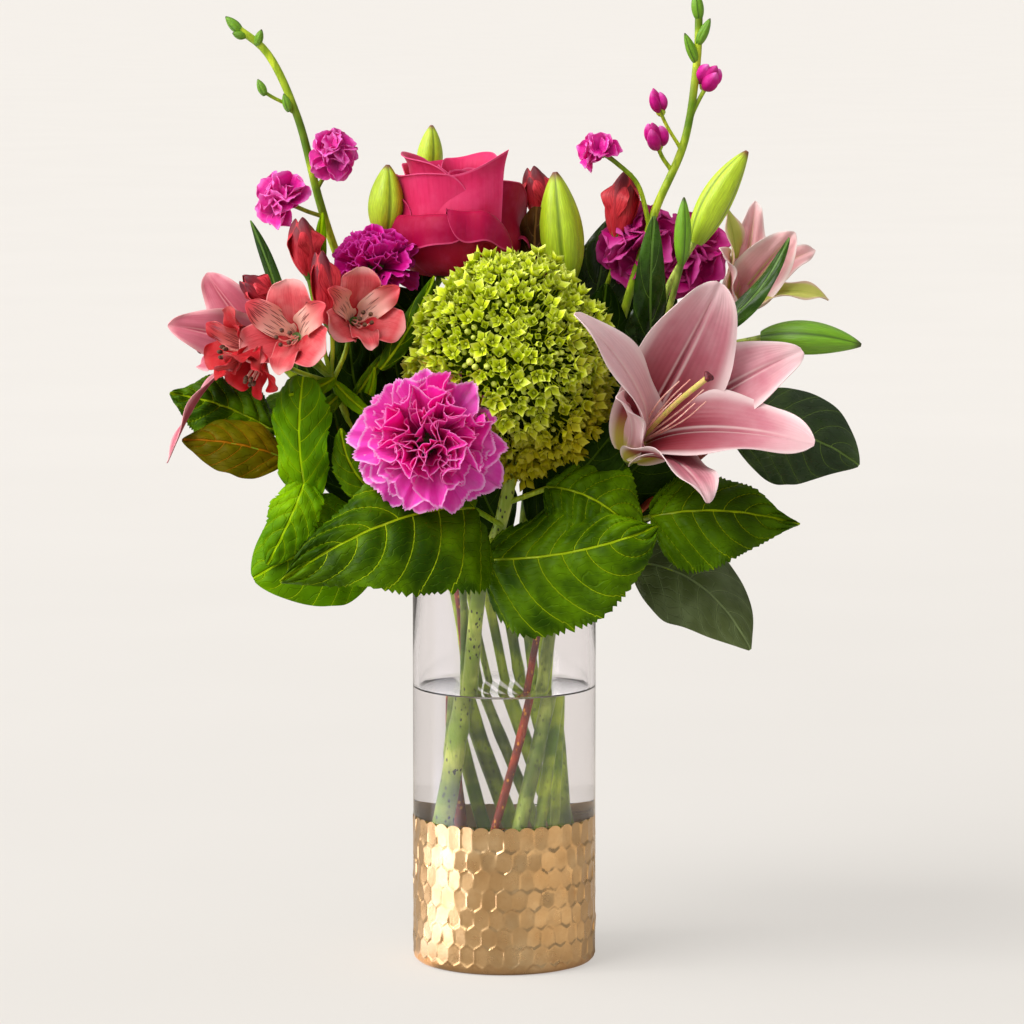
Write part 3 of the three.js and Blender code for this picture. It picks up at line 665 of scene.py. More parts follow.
def petal_finish(name, deep, heart, body, edge, edge_from=0.9, gloss=0.5, soft=0.05, heart_rim=0.6,
                 veined=0.45, through=0.2, deep_to=0.75):
    """A soft petal: deep at its base, the heart's colour where its tone is 1, paler at its edge."""
    finish = Finish(name, Roughness=gloss, Sheen_Weight=soft, Sheen_Roughness=0.35, Specular_IOR_Level=0.15)
    across, along, _ = finish.pattern()
    tone = finish.tone()
    drawn_out = finish.joined(finish.times(across, 4.0), finish.times(along, 0.6), tone)
    veins = finish.noise(6, 3, vector=drawn_out)
    colour = finish.mix(tone, body, heart)
    colour = finish.mix(finish.span(along, deep_to, 0.1, 0.0, 0.9), colour, deep)
    colour = finish.mix(finish.span(veins, 0.42, 0.75, 0.0, veined), colour, deep)
    mottle = finish.span(finish.noise(90, 3), 0.4, 0.7, 0.0, 0.25)
    colour = finish.mix(finish.times(mottle, finish.span(tone, 0.0, 1.0, 1.0, heart_rim)), colour, edge)
    sides = finish.span(finish.absolute(across), 0.92, 1.0, 0.0, 0.5)
    rim = finish.calc("MAXIMUM", finish.span(along, edge_from, 0.99), sides)
    rim = finish.times(rim, finish.span(tone, 0.0, 1.0, 0.95, heart_rim))
    colour = finish.mix(rim, colour, edge)
    finish.drive(
        Base_Color=colour,
        Normal=finish.bump(finish.noise(380, 3), 0.0004, 0.35, finish.bump(veins, 0.0008, veined)),
    )
    finish.let_light_through(through, colour)
    return finish.material


def dashed_petal_finish(name, ground, blush, dash):
    """An inner alstroemeria petal: cream, with short dark dashes along its veins."""
    finish = Finish(name, Roughness=0.42)
    across, along, _ = finish.pattern()
    grid = finish.joined(finish.times(across, 5.4), finish.times(along, 1.8), finish.tone())
    cells = finish.add("ShaderNodeTexVoronoi", {"Vector": grid, "Scale": 1.6, "Randomness": 0.6})
    marks = finish.times(finish.span(cells, 0.36, 0.22), finish.span(along, 0.99, 0.9))
    body = finish.mix(finish.span(along, 0.3, 0.95), ground, blush)
    body = finish.mix(finish.span(finish.tone(), 0.4, 1.0, 0.0, 0.85), body, rgb(198, 16, 32))
    finish.drive(
        Base_Color=finish.mix(marks, body, dash),
        Normal=finish.bump(finish.noise(420, 3), 0.0003, 0.4),
    )
    finish.let_light_through(0.25, body)
    return finish.material


def closed_petal_finish(name, body, deep, stripe):
    """A petal that hasn't opened: red, with a dark stripe that widens to its tip."""
    finish = Finish(name, Roughness=0.4, Specular_IOR_Level=0.3)
    across, along, _ = finish.pattern()
    streaks = finish.noise(6, 3, vector=finish.joined(finish.times(across, 5.0), along, finish.tone()))
    colour = finish.mix(finish.span(streaks, 0.4, 0.7), body, deep)
    wide = finish.span(along, 0.3, 1.0, 0.12, 0.85)
    inside = finish.minus(wide, finish.absolute(across))
    dark = finish.times(finish.span(inside, -0.1, 0.25), finish.span(along, 0.25, 0.95))
    colour = finish.mix(finish.times(dark, 0.85), colour, stripe)
    finish.drive(Base_Color=colour, Normal=finish.bump(streaks, 0.0006, 0.4))
    finish.let_light_through(0.15, colour)
    return finish.material


def bud_finish(name, base, groove, tip):
    """A lily bud: three dark seams, long pale ribs and a browned tip."""
    finish = Finish(name, Roughness=0.4, Subsurface_Weight=0.1, Subsurface_Scale=0.002)
    round_it, along, _ = finish.pattern()
    turns = finish.calc("FRACT", finish.times(finish.plus(round_it, 1.0), 1.5))
    seam = finish.absolute(finish.minus(turns, 0.5))
    streaks = finish.noise(7, 3, vector=finish.joined(finish.times(round_it, 7.0), along))
    body = finish.mix(finish.span(streaks, 0.35, 0.7), base, scaled(base, 1.35))
    body = finish.mix(finish.span(seam, 0.09, 0.0, 0.0, 0.75), body, groove)
    body = finish.mix(finish.span(along, 0.0, 0.25, 0.4, 0.0), body, groove)
    body = finish.mix(finish.span(along, 0.9, 1.0), body, tip)
    finish.drive(Base_Color=body, Normal=finish.bump(streaks, 0.0006, 0.5))
    return finish.material


def floret_finish(name, deep, body, pale):
    """Hydrangea florets: olive where they are low and to the right, lime above, with painted shade at the
    base of each floret and a painted highlight towards its tips.
    """
    finish = Finish(name, Roughness=0.4, Specular_IOR_Level=0.3)
    across, along, _ = finish.pattern()
    tone = finish.tone()
    # painted shade: deep at the base of each floret, down among the others
    colour = finish.mix(finish.span(along, 0.05, 0.7), deep, body)
    # painted highlight: paler towards the tips of the petals
    colour = finish.mix(finish.times(finish.span(along, 0.6, 1.0), 0.55), colour, pale)
    colour = finish.mix(finish.span(tone, 0.6, 1.0, 0.0, 0.4), colour, deep)
    # olive towards the lower right of the head, a little uneven
    point = finish.parts(finish.here())
    low = finish.plus(finish.times(point["Z"], -1.0), finish.times(point["X"], 0.55))
    lower_right = finish.plus(low, finish.times(finish.noise(40, 2), 0.02))
    colour = finish.mix(finish.span(lower_right, -0.30, -0.265, 0.0, 0.85), colour, rgb(194, 182, 8))
    finish.drive(Base_Color=colour, Normal=finish.bump(finish.noise(700, 2), 0.0003, 0.3))
    finish.let_light_through(0.15, colour)
    return finish.material


def plain_finish(name, colour, other, scale=300, roughness=0.5, shine=0.4):
    """A small part's finish in two mottled colours with a fine grain."""
    finish = Finish(name, Roughness=roughness, Specular_IOR_Level=shine)
    grain = finish.noise(scale, 4)
    finish.drive(
        Base_Color=finish.mix(finish.span(grain, 0.35, 0.65), colour, other),
        Normal=finish.bump(grain, 0.0003, 0.4),
    )
    return finish.material


GLASS = clear_finish("clear_glass", (0.972, 0.962, 0.966, 1), 1.45)
WATER = clear_finish("still_water", (0.985, 0.985, 0.98, 1), 1.33)
GOLD = gold_finish()
STEM_PALE = stem_finish("pale_stem", rgb(216, 226, 108), rgb(128, 160, 30), rgb(34, 30, 10), 0.95)
STEM_GREEN = stem_finish("green_stem", rgb(184, 208, 40), rgb(66, 102, 0), rgb(40, 50, 10), 0.4)
STEM_FROSTED = stem_finish("frosted_stem", rgb(192, 210, 92), rgb(84, 116, 20), rgb(50, 60, 20), 0.5)
STEM_LIME = stem_finish("lime_stem", rgb(202, 222, 50), rgb(96, 136, 0), rgb(80, 90, 20), 0.3)
STEM_BROWN = stem_finish("woody_twig", rgb(190, 66, 10), rgb(84, 14, 6), rgb(226, 150, 40), 0.9)
LEAF_BRIGHT = leaf_finish("bright_leaf", rgb(42, 72, 0), rgb(98, 138, 0), rgb(158, 184, 16), rgb(76, 112, 10),
                          shine=0.06)
LEAF_LIME = leaf_finish("lime_leaf", rgb(82, 130, 0), rgb(124, 172, 0), rgb(154, 190, 6), rgb(96, 140, 20),
                        shine=0.04)
LEAF_DARK = leaf_finish("dark_leaf", rgb(40, 62, 24), rgb(74, 98, 46), rgb(96, 122, 50), rgb(70, 98, 44),
                        gloss=0.34, shine=0.35)
LEAF_GREY = leaf_finish("greyed_leaf", rgb(88, 102, 52), rgb(124, 140, 90), rgb(136, 154, 96),
                        rgb(88, 108, 60), shine=0.3)
LEAF_OLIVE = leaf_finish("olive_leaf", rgb(84, 92, 0), rgb(130, 108, 2), rgb(160, 100, 10), rgb(90, 92, 20),
                         shine=0.04)
LEAF_BRONZE = leaf_finish("bronze_leaf", rgb(58, 34, 12), rgb(92, 58, 22), rgb(120, 84, 40), rgb(70, 50, 24))
LEAF_SHADE = leaf_finish("shaded_leaf", rgb(16, 36, 0), rgb(42, 68, 4), rgb(70, 96, 14), rgb(40, 60, 10),
                         shine=0.05)
LEAF_LANCE = leaf_finish("lance_leaf", rgb(26, 56, 8), rgb(66, 106, 22), rgb(96, 134, 50), rgb(90, 120, 60),
                         gloss=0.3, tertiary=0.0, shine=0.28)
LILY = lily_finish("lily_petal", rgb(238, 176, 187), rgb(212, 96, 124), rgb(206, 196, 84), rgb(250, 226, 224),
                   rgb(252, 232, 232), depth=0.88, tip_from=0.7)
LILY_PALE = lily_finish("pale_lily_petal", rgb(250, 202, 202), rgb(224, 138, 146), rgb(176, 190, 60),
                        rgb(196, 206, 80), rgb(254, 238, 234))
LILY_GREEN = lily_finish("green_backed_lily_petal", rgb(214, 212, 110), rgb(190, 200, 70), rgb(150, 172, 40),
                         rgb(140, 160, 30), rgb(244, 206, 196))
LILY_CORAL = lily_finish("coral_lily_petal", rgb(212, 118, 136), rgb(186, 66, 92), rgb(214, 196, 96),
                         rgb(240, 186, 186), rgb(244, 180, 186))
ROSE = petal_finish("rose_petal", rgb(190, 0, 30), rgb(172, 0, 66), rgb(230, 52, 110), rgb(234, 88, 140),
                    edge_from=0.985, soft=0.08, veined=0.2, deep_to=1.0)
CARNATION_PINK = petal_finish("pink_carnation_petal", rgb(226, 0, 164), rgb(255, 0, 194), rgb(254, 100, 224),
                              rgb(255, 206, 246), edge_from=0.95, heart_rim=0.4, veined=0.2, through=0.42)
CARNATION_MAGENTA = petal_finish("magenta_carnation_petal", rgb(150, 0, 80), rgb(178, 0, 96),
                                 rgb(234, 0, 162), rgb(242, 80, 206), heart_rim=0.35, veined=0.2, through=0.3)
STOCK = petal_finish("stock_petal", rgb(170, 0, 96), rgb(188, 0, 114), rgb(252, 40, 184), rgb(255, 140, 226),
                     edge_from=0.75, heart_rim=0.15, veined=0.25, through=0.3)
CORAL = petal_finish("coral_alstroemeria_petal", rgb(200, 16, 36), rgb(192, 0, 14), rgb(240, 104, 112),
                     rgb(255, 194, 190), edge_from=0.8, gloss=0.4, heart_rim=0.05)
CREAM = dashed_petal_finish("dashed_alstroemeria_petal", rgb(253, 214, 196), rgb(232, 76, 88),
                            rgb(110, 0, 22))
CLOSED = closed_petal_finish("closed_alstroemeria_petal", rgb(226, 60, 72), rgb(184, 16, 38), rgb(58, 16, 34))
BUD = bud_finish("lily_bud", rgb(172, 198, 36), rgb(84, 112, 8), rgb(120, 62, 40))
BUD_DARK = bud_finish("young_lily_bud", rgb(104, 152, 20), rgb(46, 80, 6), rgb(60, 70, 20))
FLORET = floret_finish("hydrangea_floret", rgb(138, 154, 0), rgb(228, 242, 34), rgb(252, 255, 166))
# near-black green for the ball inside the hydrangea head: painted shade between the florets
FLORET_SHADE_BALL = plain_finish("hydrangea_heart", rgb(30, 44, 0), rgb(60, 80, 2), 220, 0.9, 0.0)
STIGMA = plain_finish("stigma", rgb(120, 30, 40), rgb(72, 12, 30), 900)
STYLE = plain_finish("lily_style", rgb(206, 204, 96), rgb(226, 186, 120), 300)
ANTHER = plain_finish("anther", rgb(60, 24, 24), rgb(110, 76, 50), 900, 0.7)
FILAMENT = plain_finish("filament", rgb(246, 206, 190), rgb(236, 160, 150), 400)
CALYX = plain_finish("calyx", rgb(106, 146, 44), rgb(66, 104, 24), 160)


# ---------------------------------------------------------------- vase, band and water
VASE = {"radius": 50.8, "height": 222, "wall": 3.3, "base": 9, "corner": 4, "columns": 192}
BAND = {"top": 82, "thickness": 0.6, "round": 38, "pitch": 10.5, "stretch": 0.8, "ridge": 0.34,
        "scallop": 2.2, "uneven": 0.05, "seam": 0.7, "facet_rows": 9, "seed": 24}
WATER_LEVEL = 153.6
MENISCUS = ((0, 1.4), (0.5, 0.75), (1.2, 0.3), (2.6, 0))  # how far from the wall and above the level


def vase_glass():
    """The glass has a thick floor, a recess for the band and a rounded lip."""
    radius, inner = VASE["radius"], VASE["radius"] - VASE["wall"]
    recessed = radius - BAND["thickness"] - 0.2
    corner = VASE["corner"]
    lip = VASE["wall"] / 2
    profile = [(0, 0.25)]
    profile += rounded((recessed - corner, corner + 0.25), corner, -90, 0)
    profile += [(recessed, 30), (recessed, BAND["top"]), (radius, BAND["top"] + 0.5)]
    profile += [(radius, 120), (radius, 170)]
    profile += rounded((radius - lip, VASE["height"] - lip), lip, 0, 180, 12)
    profile += [(inner, 170), (inner, 120), (inner, 60)]
    floor = VASE["base"]
    profile += rounded((inner - corner, floor + corner), corner, 0, -90)
    profile += [(20, floor), (0, floor)]
    return lathe(profile, VASE["columns"])


def vase_water():
    """The water reaches a little into the wall, as it has to for light to bend once only."""
    radius = VASE["radius"] - VASE["wall"] + 0.15
    floor, corner = VASE["base"] - 0.15, VASE["corner"]
    profile = [(0, floor)] + rounded((radius - corner, floor + corner), corner, -90, 0)
    profile += [(radius, 60), (radius, 120)]
    profile += [(radius - off, WATER_LEVEL + rise) for off, rise in MENISCUS]
    profile += [(20, WATER_LEVEL), (0, WATER_LEVEL)]
    return lathe(profile, VASE["columns"])


def gold_band():
    """A shell beaten into flat six-sided facets, with a raised seam round each of them."""
    rng = np.random.default_rng(BAND["seed"])
    columns, rows, inner_rows = BAND["round"] * 12, 118, 5
    radius, corner, top = VASE["radius"], VASE["corner"], BAND["top"]
    angle = np.linspace(0, 2 * math.pi, columns, endpoint=False)
    run = angle * radius
    width = 2 * math.pi * radius / BAND["round"]
    edge = top - 1.4 + BAND["scallop"] * np.abs(np.cos(angle * BAND["round"] / 2)) ** 0.7
    level = np.linspace(0, 1, rows)[:, None] * edge[None, :]
    across = np.broadcast_to(run, level.shape)

    tilts = rng.normal(0, BAND["uneven"], (BAND["round"], 12, 2))
    lift = rng.normal(0, BAND["uneven"], (BAND["round"], 12))
    nearest, second = np.full(level.shape, 1e9), np.full(level.shape, 1e9)
    height = np.zeros(level.shape)
    for row in range(BAND["facet_rows"]):
        z = top - 8.5 - row * BAND["pitch"] if row else top - 6.5
        shift = 0.0 if row % 2 == 0 else 0.5
        for column in range(BAND["round"]):
            middle = (column + shift) * width
            dx = (across - middle + math.pi * radius) % (2 * math.pi * radius) - math.pi * radius
            dz = level - z
            far = np.hypot(dx, dz * BAND["stretch"])
            closer = far < nearest
            second = np.where(closer, nearest, np.minimum(second, far))
            facet = lift[column, row] + tilts[column, row, 0] * dx + tilts[column, row, 1] * dz
            height = np.where(closer, facet + dx ** 2 / (2 * radius) + 0.003 * far ** 2, height)
            nearest = np.where(closer, far, nearest)
    seam = np.exp(-(((second - nearest) / BAND["seam"]) ** 2))
    height = height * (1 - seam) + BAND["ridge"] * seam
    bend = np.clip(level / corner, 0, 1)
    height *= np.clip(bend * 1.2 - 0.1, 0, 1)
    fillet = corner - np.sqrt(np.maximum(corner ** 2 - (corner - np.minimum(level, corner)) ** 2, 0))
    outer = radius - fillet + height - 0.25
    inside = np.linspace(1, 0, inner_rows)[:, None] * (edge[None, :] - 0.3) + 0.15
    # a little into the glass, as leaf lies on it
    inner = np.full(inside.shape, radius - BAND["thickness"] - 0.35)
    inner[-1] = radius - corner - 0.8
    radii, heights = np.vstack([outer, inner]), np.vstack([level, inside])
    points = np.stack([radii * np.cos(angle), radii * np.sin(angle), heights], -1)
    return ring_shell(points)


place_shape("vase_glass_fine", vase_glass(), [GLASS], "glass", "vase_glass", crease=30)
place_shape("water_fine", vase_water(), [WATER], "water", "water", crease=60)
place_shape("gold_band_fine", gold_band(), [GOLD], "gold", "gold_band", crease=32)


# ---------------------------------------------------------------- stems
RING = {"foot": 37, "rim": 34, "twist": 100, "foot_height": 11.5}
THINNING = 0.3  # part of its width that a stem loses on its way up
STEMS = {
    "hydrangea_stem": dict(
        rim=250, width=10, finish=STEM_PALE, slot="stem_pale",
        route=[(-2, -42, 250), (4, -42, 280), (5, -40, 300)], knots=(0.42,)),
    "pink_carnation_stem": dict(
        rim=225, width=5, finish=STEM_FROSTED, slot="stem_pale",
        route=[(-36, -50, 262), (-41, -68, 287), (-41, -80, 298)], knots=(0.35, 0.7)),
    "foliage_stem_left": dict(
        rim=204, width=5, finish=STEM_BROWN, slot="stem_brown",
        route=[(-60, -27, 248), (-92, -30, 270), (-118, -22, 285)], knots=(0.3, 0.55, 0.8)),
    "alstroemeria_stem_left": dict(
        rim=184, width=5.5, finish=STEM_LIME, slot="stem_green",
        route=[(-60, -22, 262), (-82, -38, 300), (-94, -45, 332)], knots=(),
        twigs=[(2.6, [(-93, -44, 328), (-104, -44, 340), (-111, -46, 350)]),
               (2.6, [(-93, -44, 328), (-86, -36, 344), (-84, -32, 357)]),
               (2.6, [(-93, -44, 327), (-114, -42, 334), (-129, -40, 344)]),
               (2.6, [(-94, -45, 330), (-117, -50, 347), (-130, -58.5, 350)]),
               (2.4, [(-94, -44, 330), (-110, -36, 352), (-123, -34, 369.5)]),
               (2.4, [(-94, -44, 330), (-101, -34, 358), (-106, -30, 382)]),
               (2.4, [(-94, -45, 330), (-93, -46, 342), (-93, -46, 354)])]),
    "lily_stem_left": dict(
        rim=162, width=7, finish=STEM_GREEN, slot="stem_green",
        route=[(-55, 12, 258), (-90, 12, 298), (-115, 11, 324), (-128, 10, 338)], knots=(),
        twigs=[(4, [(-74, 12, 280), (-71, 10, 340), (-66, 5, 407)])]),
    "magenta_carnation_stem": dict(
        rim=141, width=4.5, finish=STEM_FROSTED, slot="stem_pale",
        route=[(-40, 21, 270), (-57, 2, 330), (-68, -14, 382)], knots=(0.3, 0.55, 0.8)),
    "stock_stem_left": dict(
        rim=120, width=6, finish=STEM_LIME, slot="stem_pale",
        route=[(-40, 36, 275), (-72, 28, 340), (-95, 13, 400), (-102, 6, 424), (-114, 8, 470),
               (-131, 10, 505), (-147, 10, 518)], knots=(),
        twigs=[(2.4, [(-103, 6, 430), (-97, 3, 440), (-93, 0, 448)]),
               (2.4, [(-99, 8, 414), (-108, -6, 418), (-116, -14, 422)]),
               (2, [(-115, 8, 471), (-119, 6, 474), (-121, 5, 477)]),
               (2, [(-117, 8, 475), (-127, 4, 480), (-133, 1, 484)])]),
    "rose_stem": dict(
        rim=96, width=7, finish=STEM_GREEN, slot="stem_green",
        route=[(-10, 38, 290), (-19, 30, 345), (-24, 20, 385)], knots=(0.4, 0.7)),
    "lily_stem_back": dict(
        rim=72, width=7, finish=STEM_GREEN, slot="stem_green",
        route=[(16, 38, 280), (27, 26, 340), (33, 8, 381)], knots=(),
        twigs=[(4, [(16, 39, 285), (-16, 82, 360), (-42, 76, 436)])]),
    "alstroemeria_stem_right": dict(
        rim=49, width=5, finish=STEM_LIME, slot="stem_green",
        route=[(36, 30, 290), (49, 24, 345), (56, 18, 372)], knots=(),
        twigs=[(2.6, [(54, 19, 368), (60, 14, 386), (62, 12, 400)]),
               (2.6, [(50, 23, 350), (38, 40, 378), (23.5, 46, 409)])]),
    "stock_stem_right": dict(
        rim=26, width=6, finish=STEM_LIME, slot="stem_pale",
        route=[(47, 18, 290), (63, 11, 350), (76, 6, 395), (84, 5, 420), (99, 8, 455),
               (106, 10, 500), (107, 10, 530)], knots=(),
        twigs=[(2.6, [(80, 5, 410), (73, 0, 433), (62, -4, 444), (54, -5, 450)]),
               (2.4, [(92, 7, 440), (87, 4, 447), (84, 1, 454)]),
               (2, [(97, 8, 452), (89, 6, 465), (85, 5, 474)]),
               (2.4, [(103, 9, 470), (108, 10, 480), (112, 10, 487)]),
               (3, [(71, 8, 378), (73, 9, 388), (75, 10, 396)]),
               (3, [(71, 8, 378), (86, 11, 384), (97, 14, 390)])]),
    "lily_stem_right": dict(
        rim=2, width=8, finish=STEM_FROSTED, slot="stem_green",
        route=[(50, -6, 258), (68, -12, 300), (80, -18, 334), (86, -21, 352)], knots=(),
        twigs=[(5, [(61, -9, 284), (68, -25, 282), (67, -48, 287)]),
               (3.6, [(85, -21, 348), (88, -26, 374), (104, -30, 404)]),
               (3.4, [(85, -21, 348), (91, -38, 372), (96, -45, 393)]),
               (3.8, [(77, -16, 325), (112, -12, 342), (142, -15, 349)]),
               (4.5, [(81, -18, 337), (104, 4, 350), (124, 19, 362)])]),
    "foliage_stem_right": dict(
        rim=335, width=4.5, finish=STEM_BROWN, slot="stem_brown",
        route=[(52, -28, 236), (70, -32, 252), (96, -18, 274), (125, 6, 295)], knots=(0.35, 0.6, 0.8)),
}


def stem_mesh(name, rim, width, route, finish, knots, twigs=()):
    """A trunk that thins upwards, thicker at its knots, with twigs that flare where they leave it."""
    foot = ring_point(RING["foot"], rim - RING["twist"], RING["foot_height"])
    mouth = ring_point(RING["rim"], rim, VASE["height"])
    steps = 40 + 12 * len(route)
    t = np.linspace(0, 1, steps)
    thick = width / 2 * (1 - THINNING * t)
    for knot in knots:
        thick *= 1 + 0.16 * np.exp(-(((t - knot) / 0.012) ** 2))
    thick *= 1 + 0.03 * np.sin(t * 61 + rim) * np.sin(t * 23)
    lines = [(smooth_path([foot, lerp(foot, mouth, 0.5), mouth, *route], steps), thick)]
    for twig_width, points in twigs:
        t = np.linspace(0, 1, 18)
        flare = 1 + 0.35 * np.exp(-t / 0.08) + 0.2 * np.exp(-(1 - t) / 0.08)
        lines.append((smooth_path(points, 18), twig_width / 2 * flare))
    curve = bpy.data.curves.new(name, "CURVE")
    curve.dimensions = "3D"
    for path, radii in lines:
        spline = curve.splines.new("POLY")
        spline.points.add(len(path) - 1)
        for point, at, radius in zip(spline.points, path * MM, radii * MM):
            point.co = (*at, 1)
            point.radius = radius
    return STEM_MAKER.run(name, curve, {"Sides": 18, "Finish": finish})


for name, about in STEMS.items():
    slot = about.pop("slot")
    place(name + "_fine", stem_mesh(name, **about), slot, name)


# ---------------------------------------------------------------- buds
def pod(base, tip, width, seams=3, bend=(0, 0, 0), steps=36, tone=0.0):
    """A closed bud: fattest in its lower half, with seams, and pinched at the tip."""
    t = np.linspace(0, 1, steps)
    path = bezier([base, lerp(base, tip, 0.5) + vec(*bend), tip], t)
    radii = width / 2 * np.maximum(np.sin(math.pi * (0.1 + 0.885 * t ** 0.9)) ** 0.75, 0.06)

    def swell(angle, at):
        seam = np.abs((angle * seams / (2 * math.pi)) % 1 - 0.5) * 2
        return 1 - 0.13 * np.exp(-((seam / 0.22) ** 2)) - 0.05 * np.exp(-(((1 - seam) / 0.2) ** 2))

    return tube(path, radii, 36, swell, tone)


LILY_BUDS = {
    "lily_bud_left": dict(base=(-66, 5, 404), tip=(-64, 5, 443), width=20),
    "lily_bud_back": dict(base=(-43, 76, 430), tip=(-41, 75, 462), width=15),
    "lily_bud_centre": dict(base=(34, 6, 378), tip=(28, 5, 439), width=25),
    "lily_bud_right": dict(base=(104, -30, 402), tip=(132, -30, 452), width=18, bend=(-3, 0, 2)),
    "lily_bud_small": dict(base=(96, -46, 392), tip=(97, -50, 428), width=9.5),
    "lily_bud_outer": dict(base=(141, -15, 349), tip=(195, -25, 346), width=19, bend=(0, 0, 4)),
}
for name, about in LILY_BUDS.items():
    skin = BUD_DARK if name in ("lily_bud_small", "lily_bud_outer") else BUD
    place_shape(name + "_fine", pod(**about), [skin], "bud", name)


# ---------------------------------------------------------------- leaves
def swelling(v, lower, upper):
    """A width from 0 at the base to 1 and back to 0 at the tip; lower and upper shape its two ends."""
    peak = lower / (lower + upper)
    return v ** lower * (1 - v) ** upper / (peak ** lower * (1 - peak) ** upper)


def leaf_blade(base, mid, tip, width, face, droop=0.2, veins=6, teeth=0, bite=0.05, quilt=0.9, wave=1.2,
               waves=2.5, shoulder=0.6, point=0.85, lobes=(1, 1), folds=(0, 0), heart=0.0, tone=0.0,
               across=22, along=96, seed=0.0):
    """A leaf blade: rounded shoulders, a drawn-out tip, puffed between its veins, toothed if it has teeth.

    lobes widen its two halves, folds bend them back and heart draws their shoulders behind the stalk."""
    curve = [vec(*base), vec(*mid), vec(*tip)]
    upper = unit(face)
    lean = 0.3  # how far the side veins run towards the tip on their way to the margin

    def half_width(u, v):
        return width / 2 * swelling(0.012 + 0.982 * v, shoulder, point) * np.where(u < 0, *lobes)

    def surface(u, v):
        half = half_width(u, v)
        off = np.abs(u)
        if teeth:
            saw = (v * teeth + 0.3 * np.sin(v * 37 + seed)) % 1
            uneven = 1 + 0.4 * np.sin(v * 23 + seed * 3 + np.sign(u))
            half = half * (1 + bite * uneven * (saw - 0.5) * off ** 10)
            half = half * (1 + 0.035 * np.sin(v * 17 + seed + 2 * np.sign(u)) * off ** 2)
        half = np.maximum(half, 0.35)
        flat_end = np.clip(half / 8, 0, 1)  # no waves where the blade is narrow
        ahead = heading(curve, v)
        side = units(np.cross(np.broadcast_to(upper, ahead.shape), ahead))
        out = np.cross(ahead, side)
        phase = (v - lean * off ** 1.5) * veins + np.where(u > 0, 0.5, 0.0)
        puff = np.sin(math.pi * (phase % 1)) ** 0.8 * np.clip(off * 6, 0, 1) * (1 - off ** 6)
        rise = -droop * off ** 1.5 * half + quilt * puff
        rise += wave * off ** 2 * np.sin(2 * math.pi * (waves * v + 0.25 * np.sign(u)) + seed) * flat_end
        rise += 0.35 * np.sin(u * 9 + seed) * np.sin(v * 31 + seed) * flat_end
        rise -= np.where(u < 0, *folds) * off * half
        back = heart * half * off ** 1.5 * (1 - v) ** 3
        middle = bezier(curve, v) + side * (u * half)[..., None]
        return middle + out * rise[..., None] - ahead * back[..., None]

    def pattern(u, v):
        return u * half_width(u, v), (v - lean * np.abs(u) ** 1.5) * veins

    shape = blade(surface, across, along, 0.5, tone, pattern=pattern)
    shape.pattern[:, 2] = 1 - shape.pattern[:, 2]  # the sheet's second side is the one towards face
    return shape


def rib(base, mid, tip, face, finish):
    """The raised midrib under a leaf, thinning towards its tip."""
    t = np.linspace(0, 0.93, 40)
    path = bezier([vec(*base), vec(*mid), vec(*tip)], t) - unit(face) * 0.5
    return tube(path, 0.9 * (1 - 0.75 * t), 8, finish=finish)


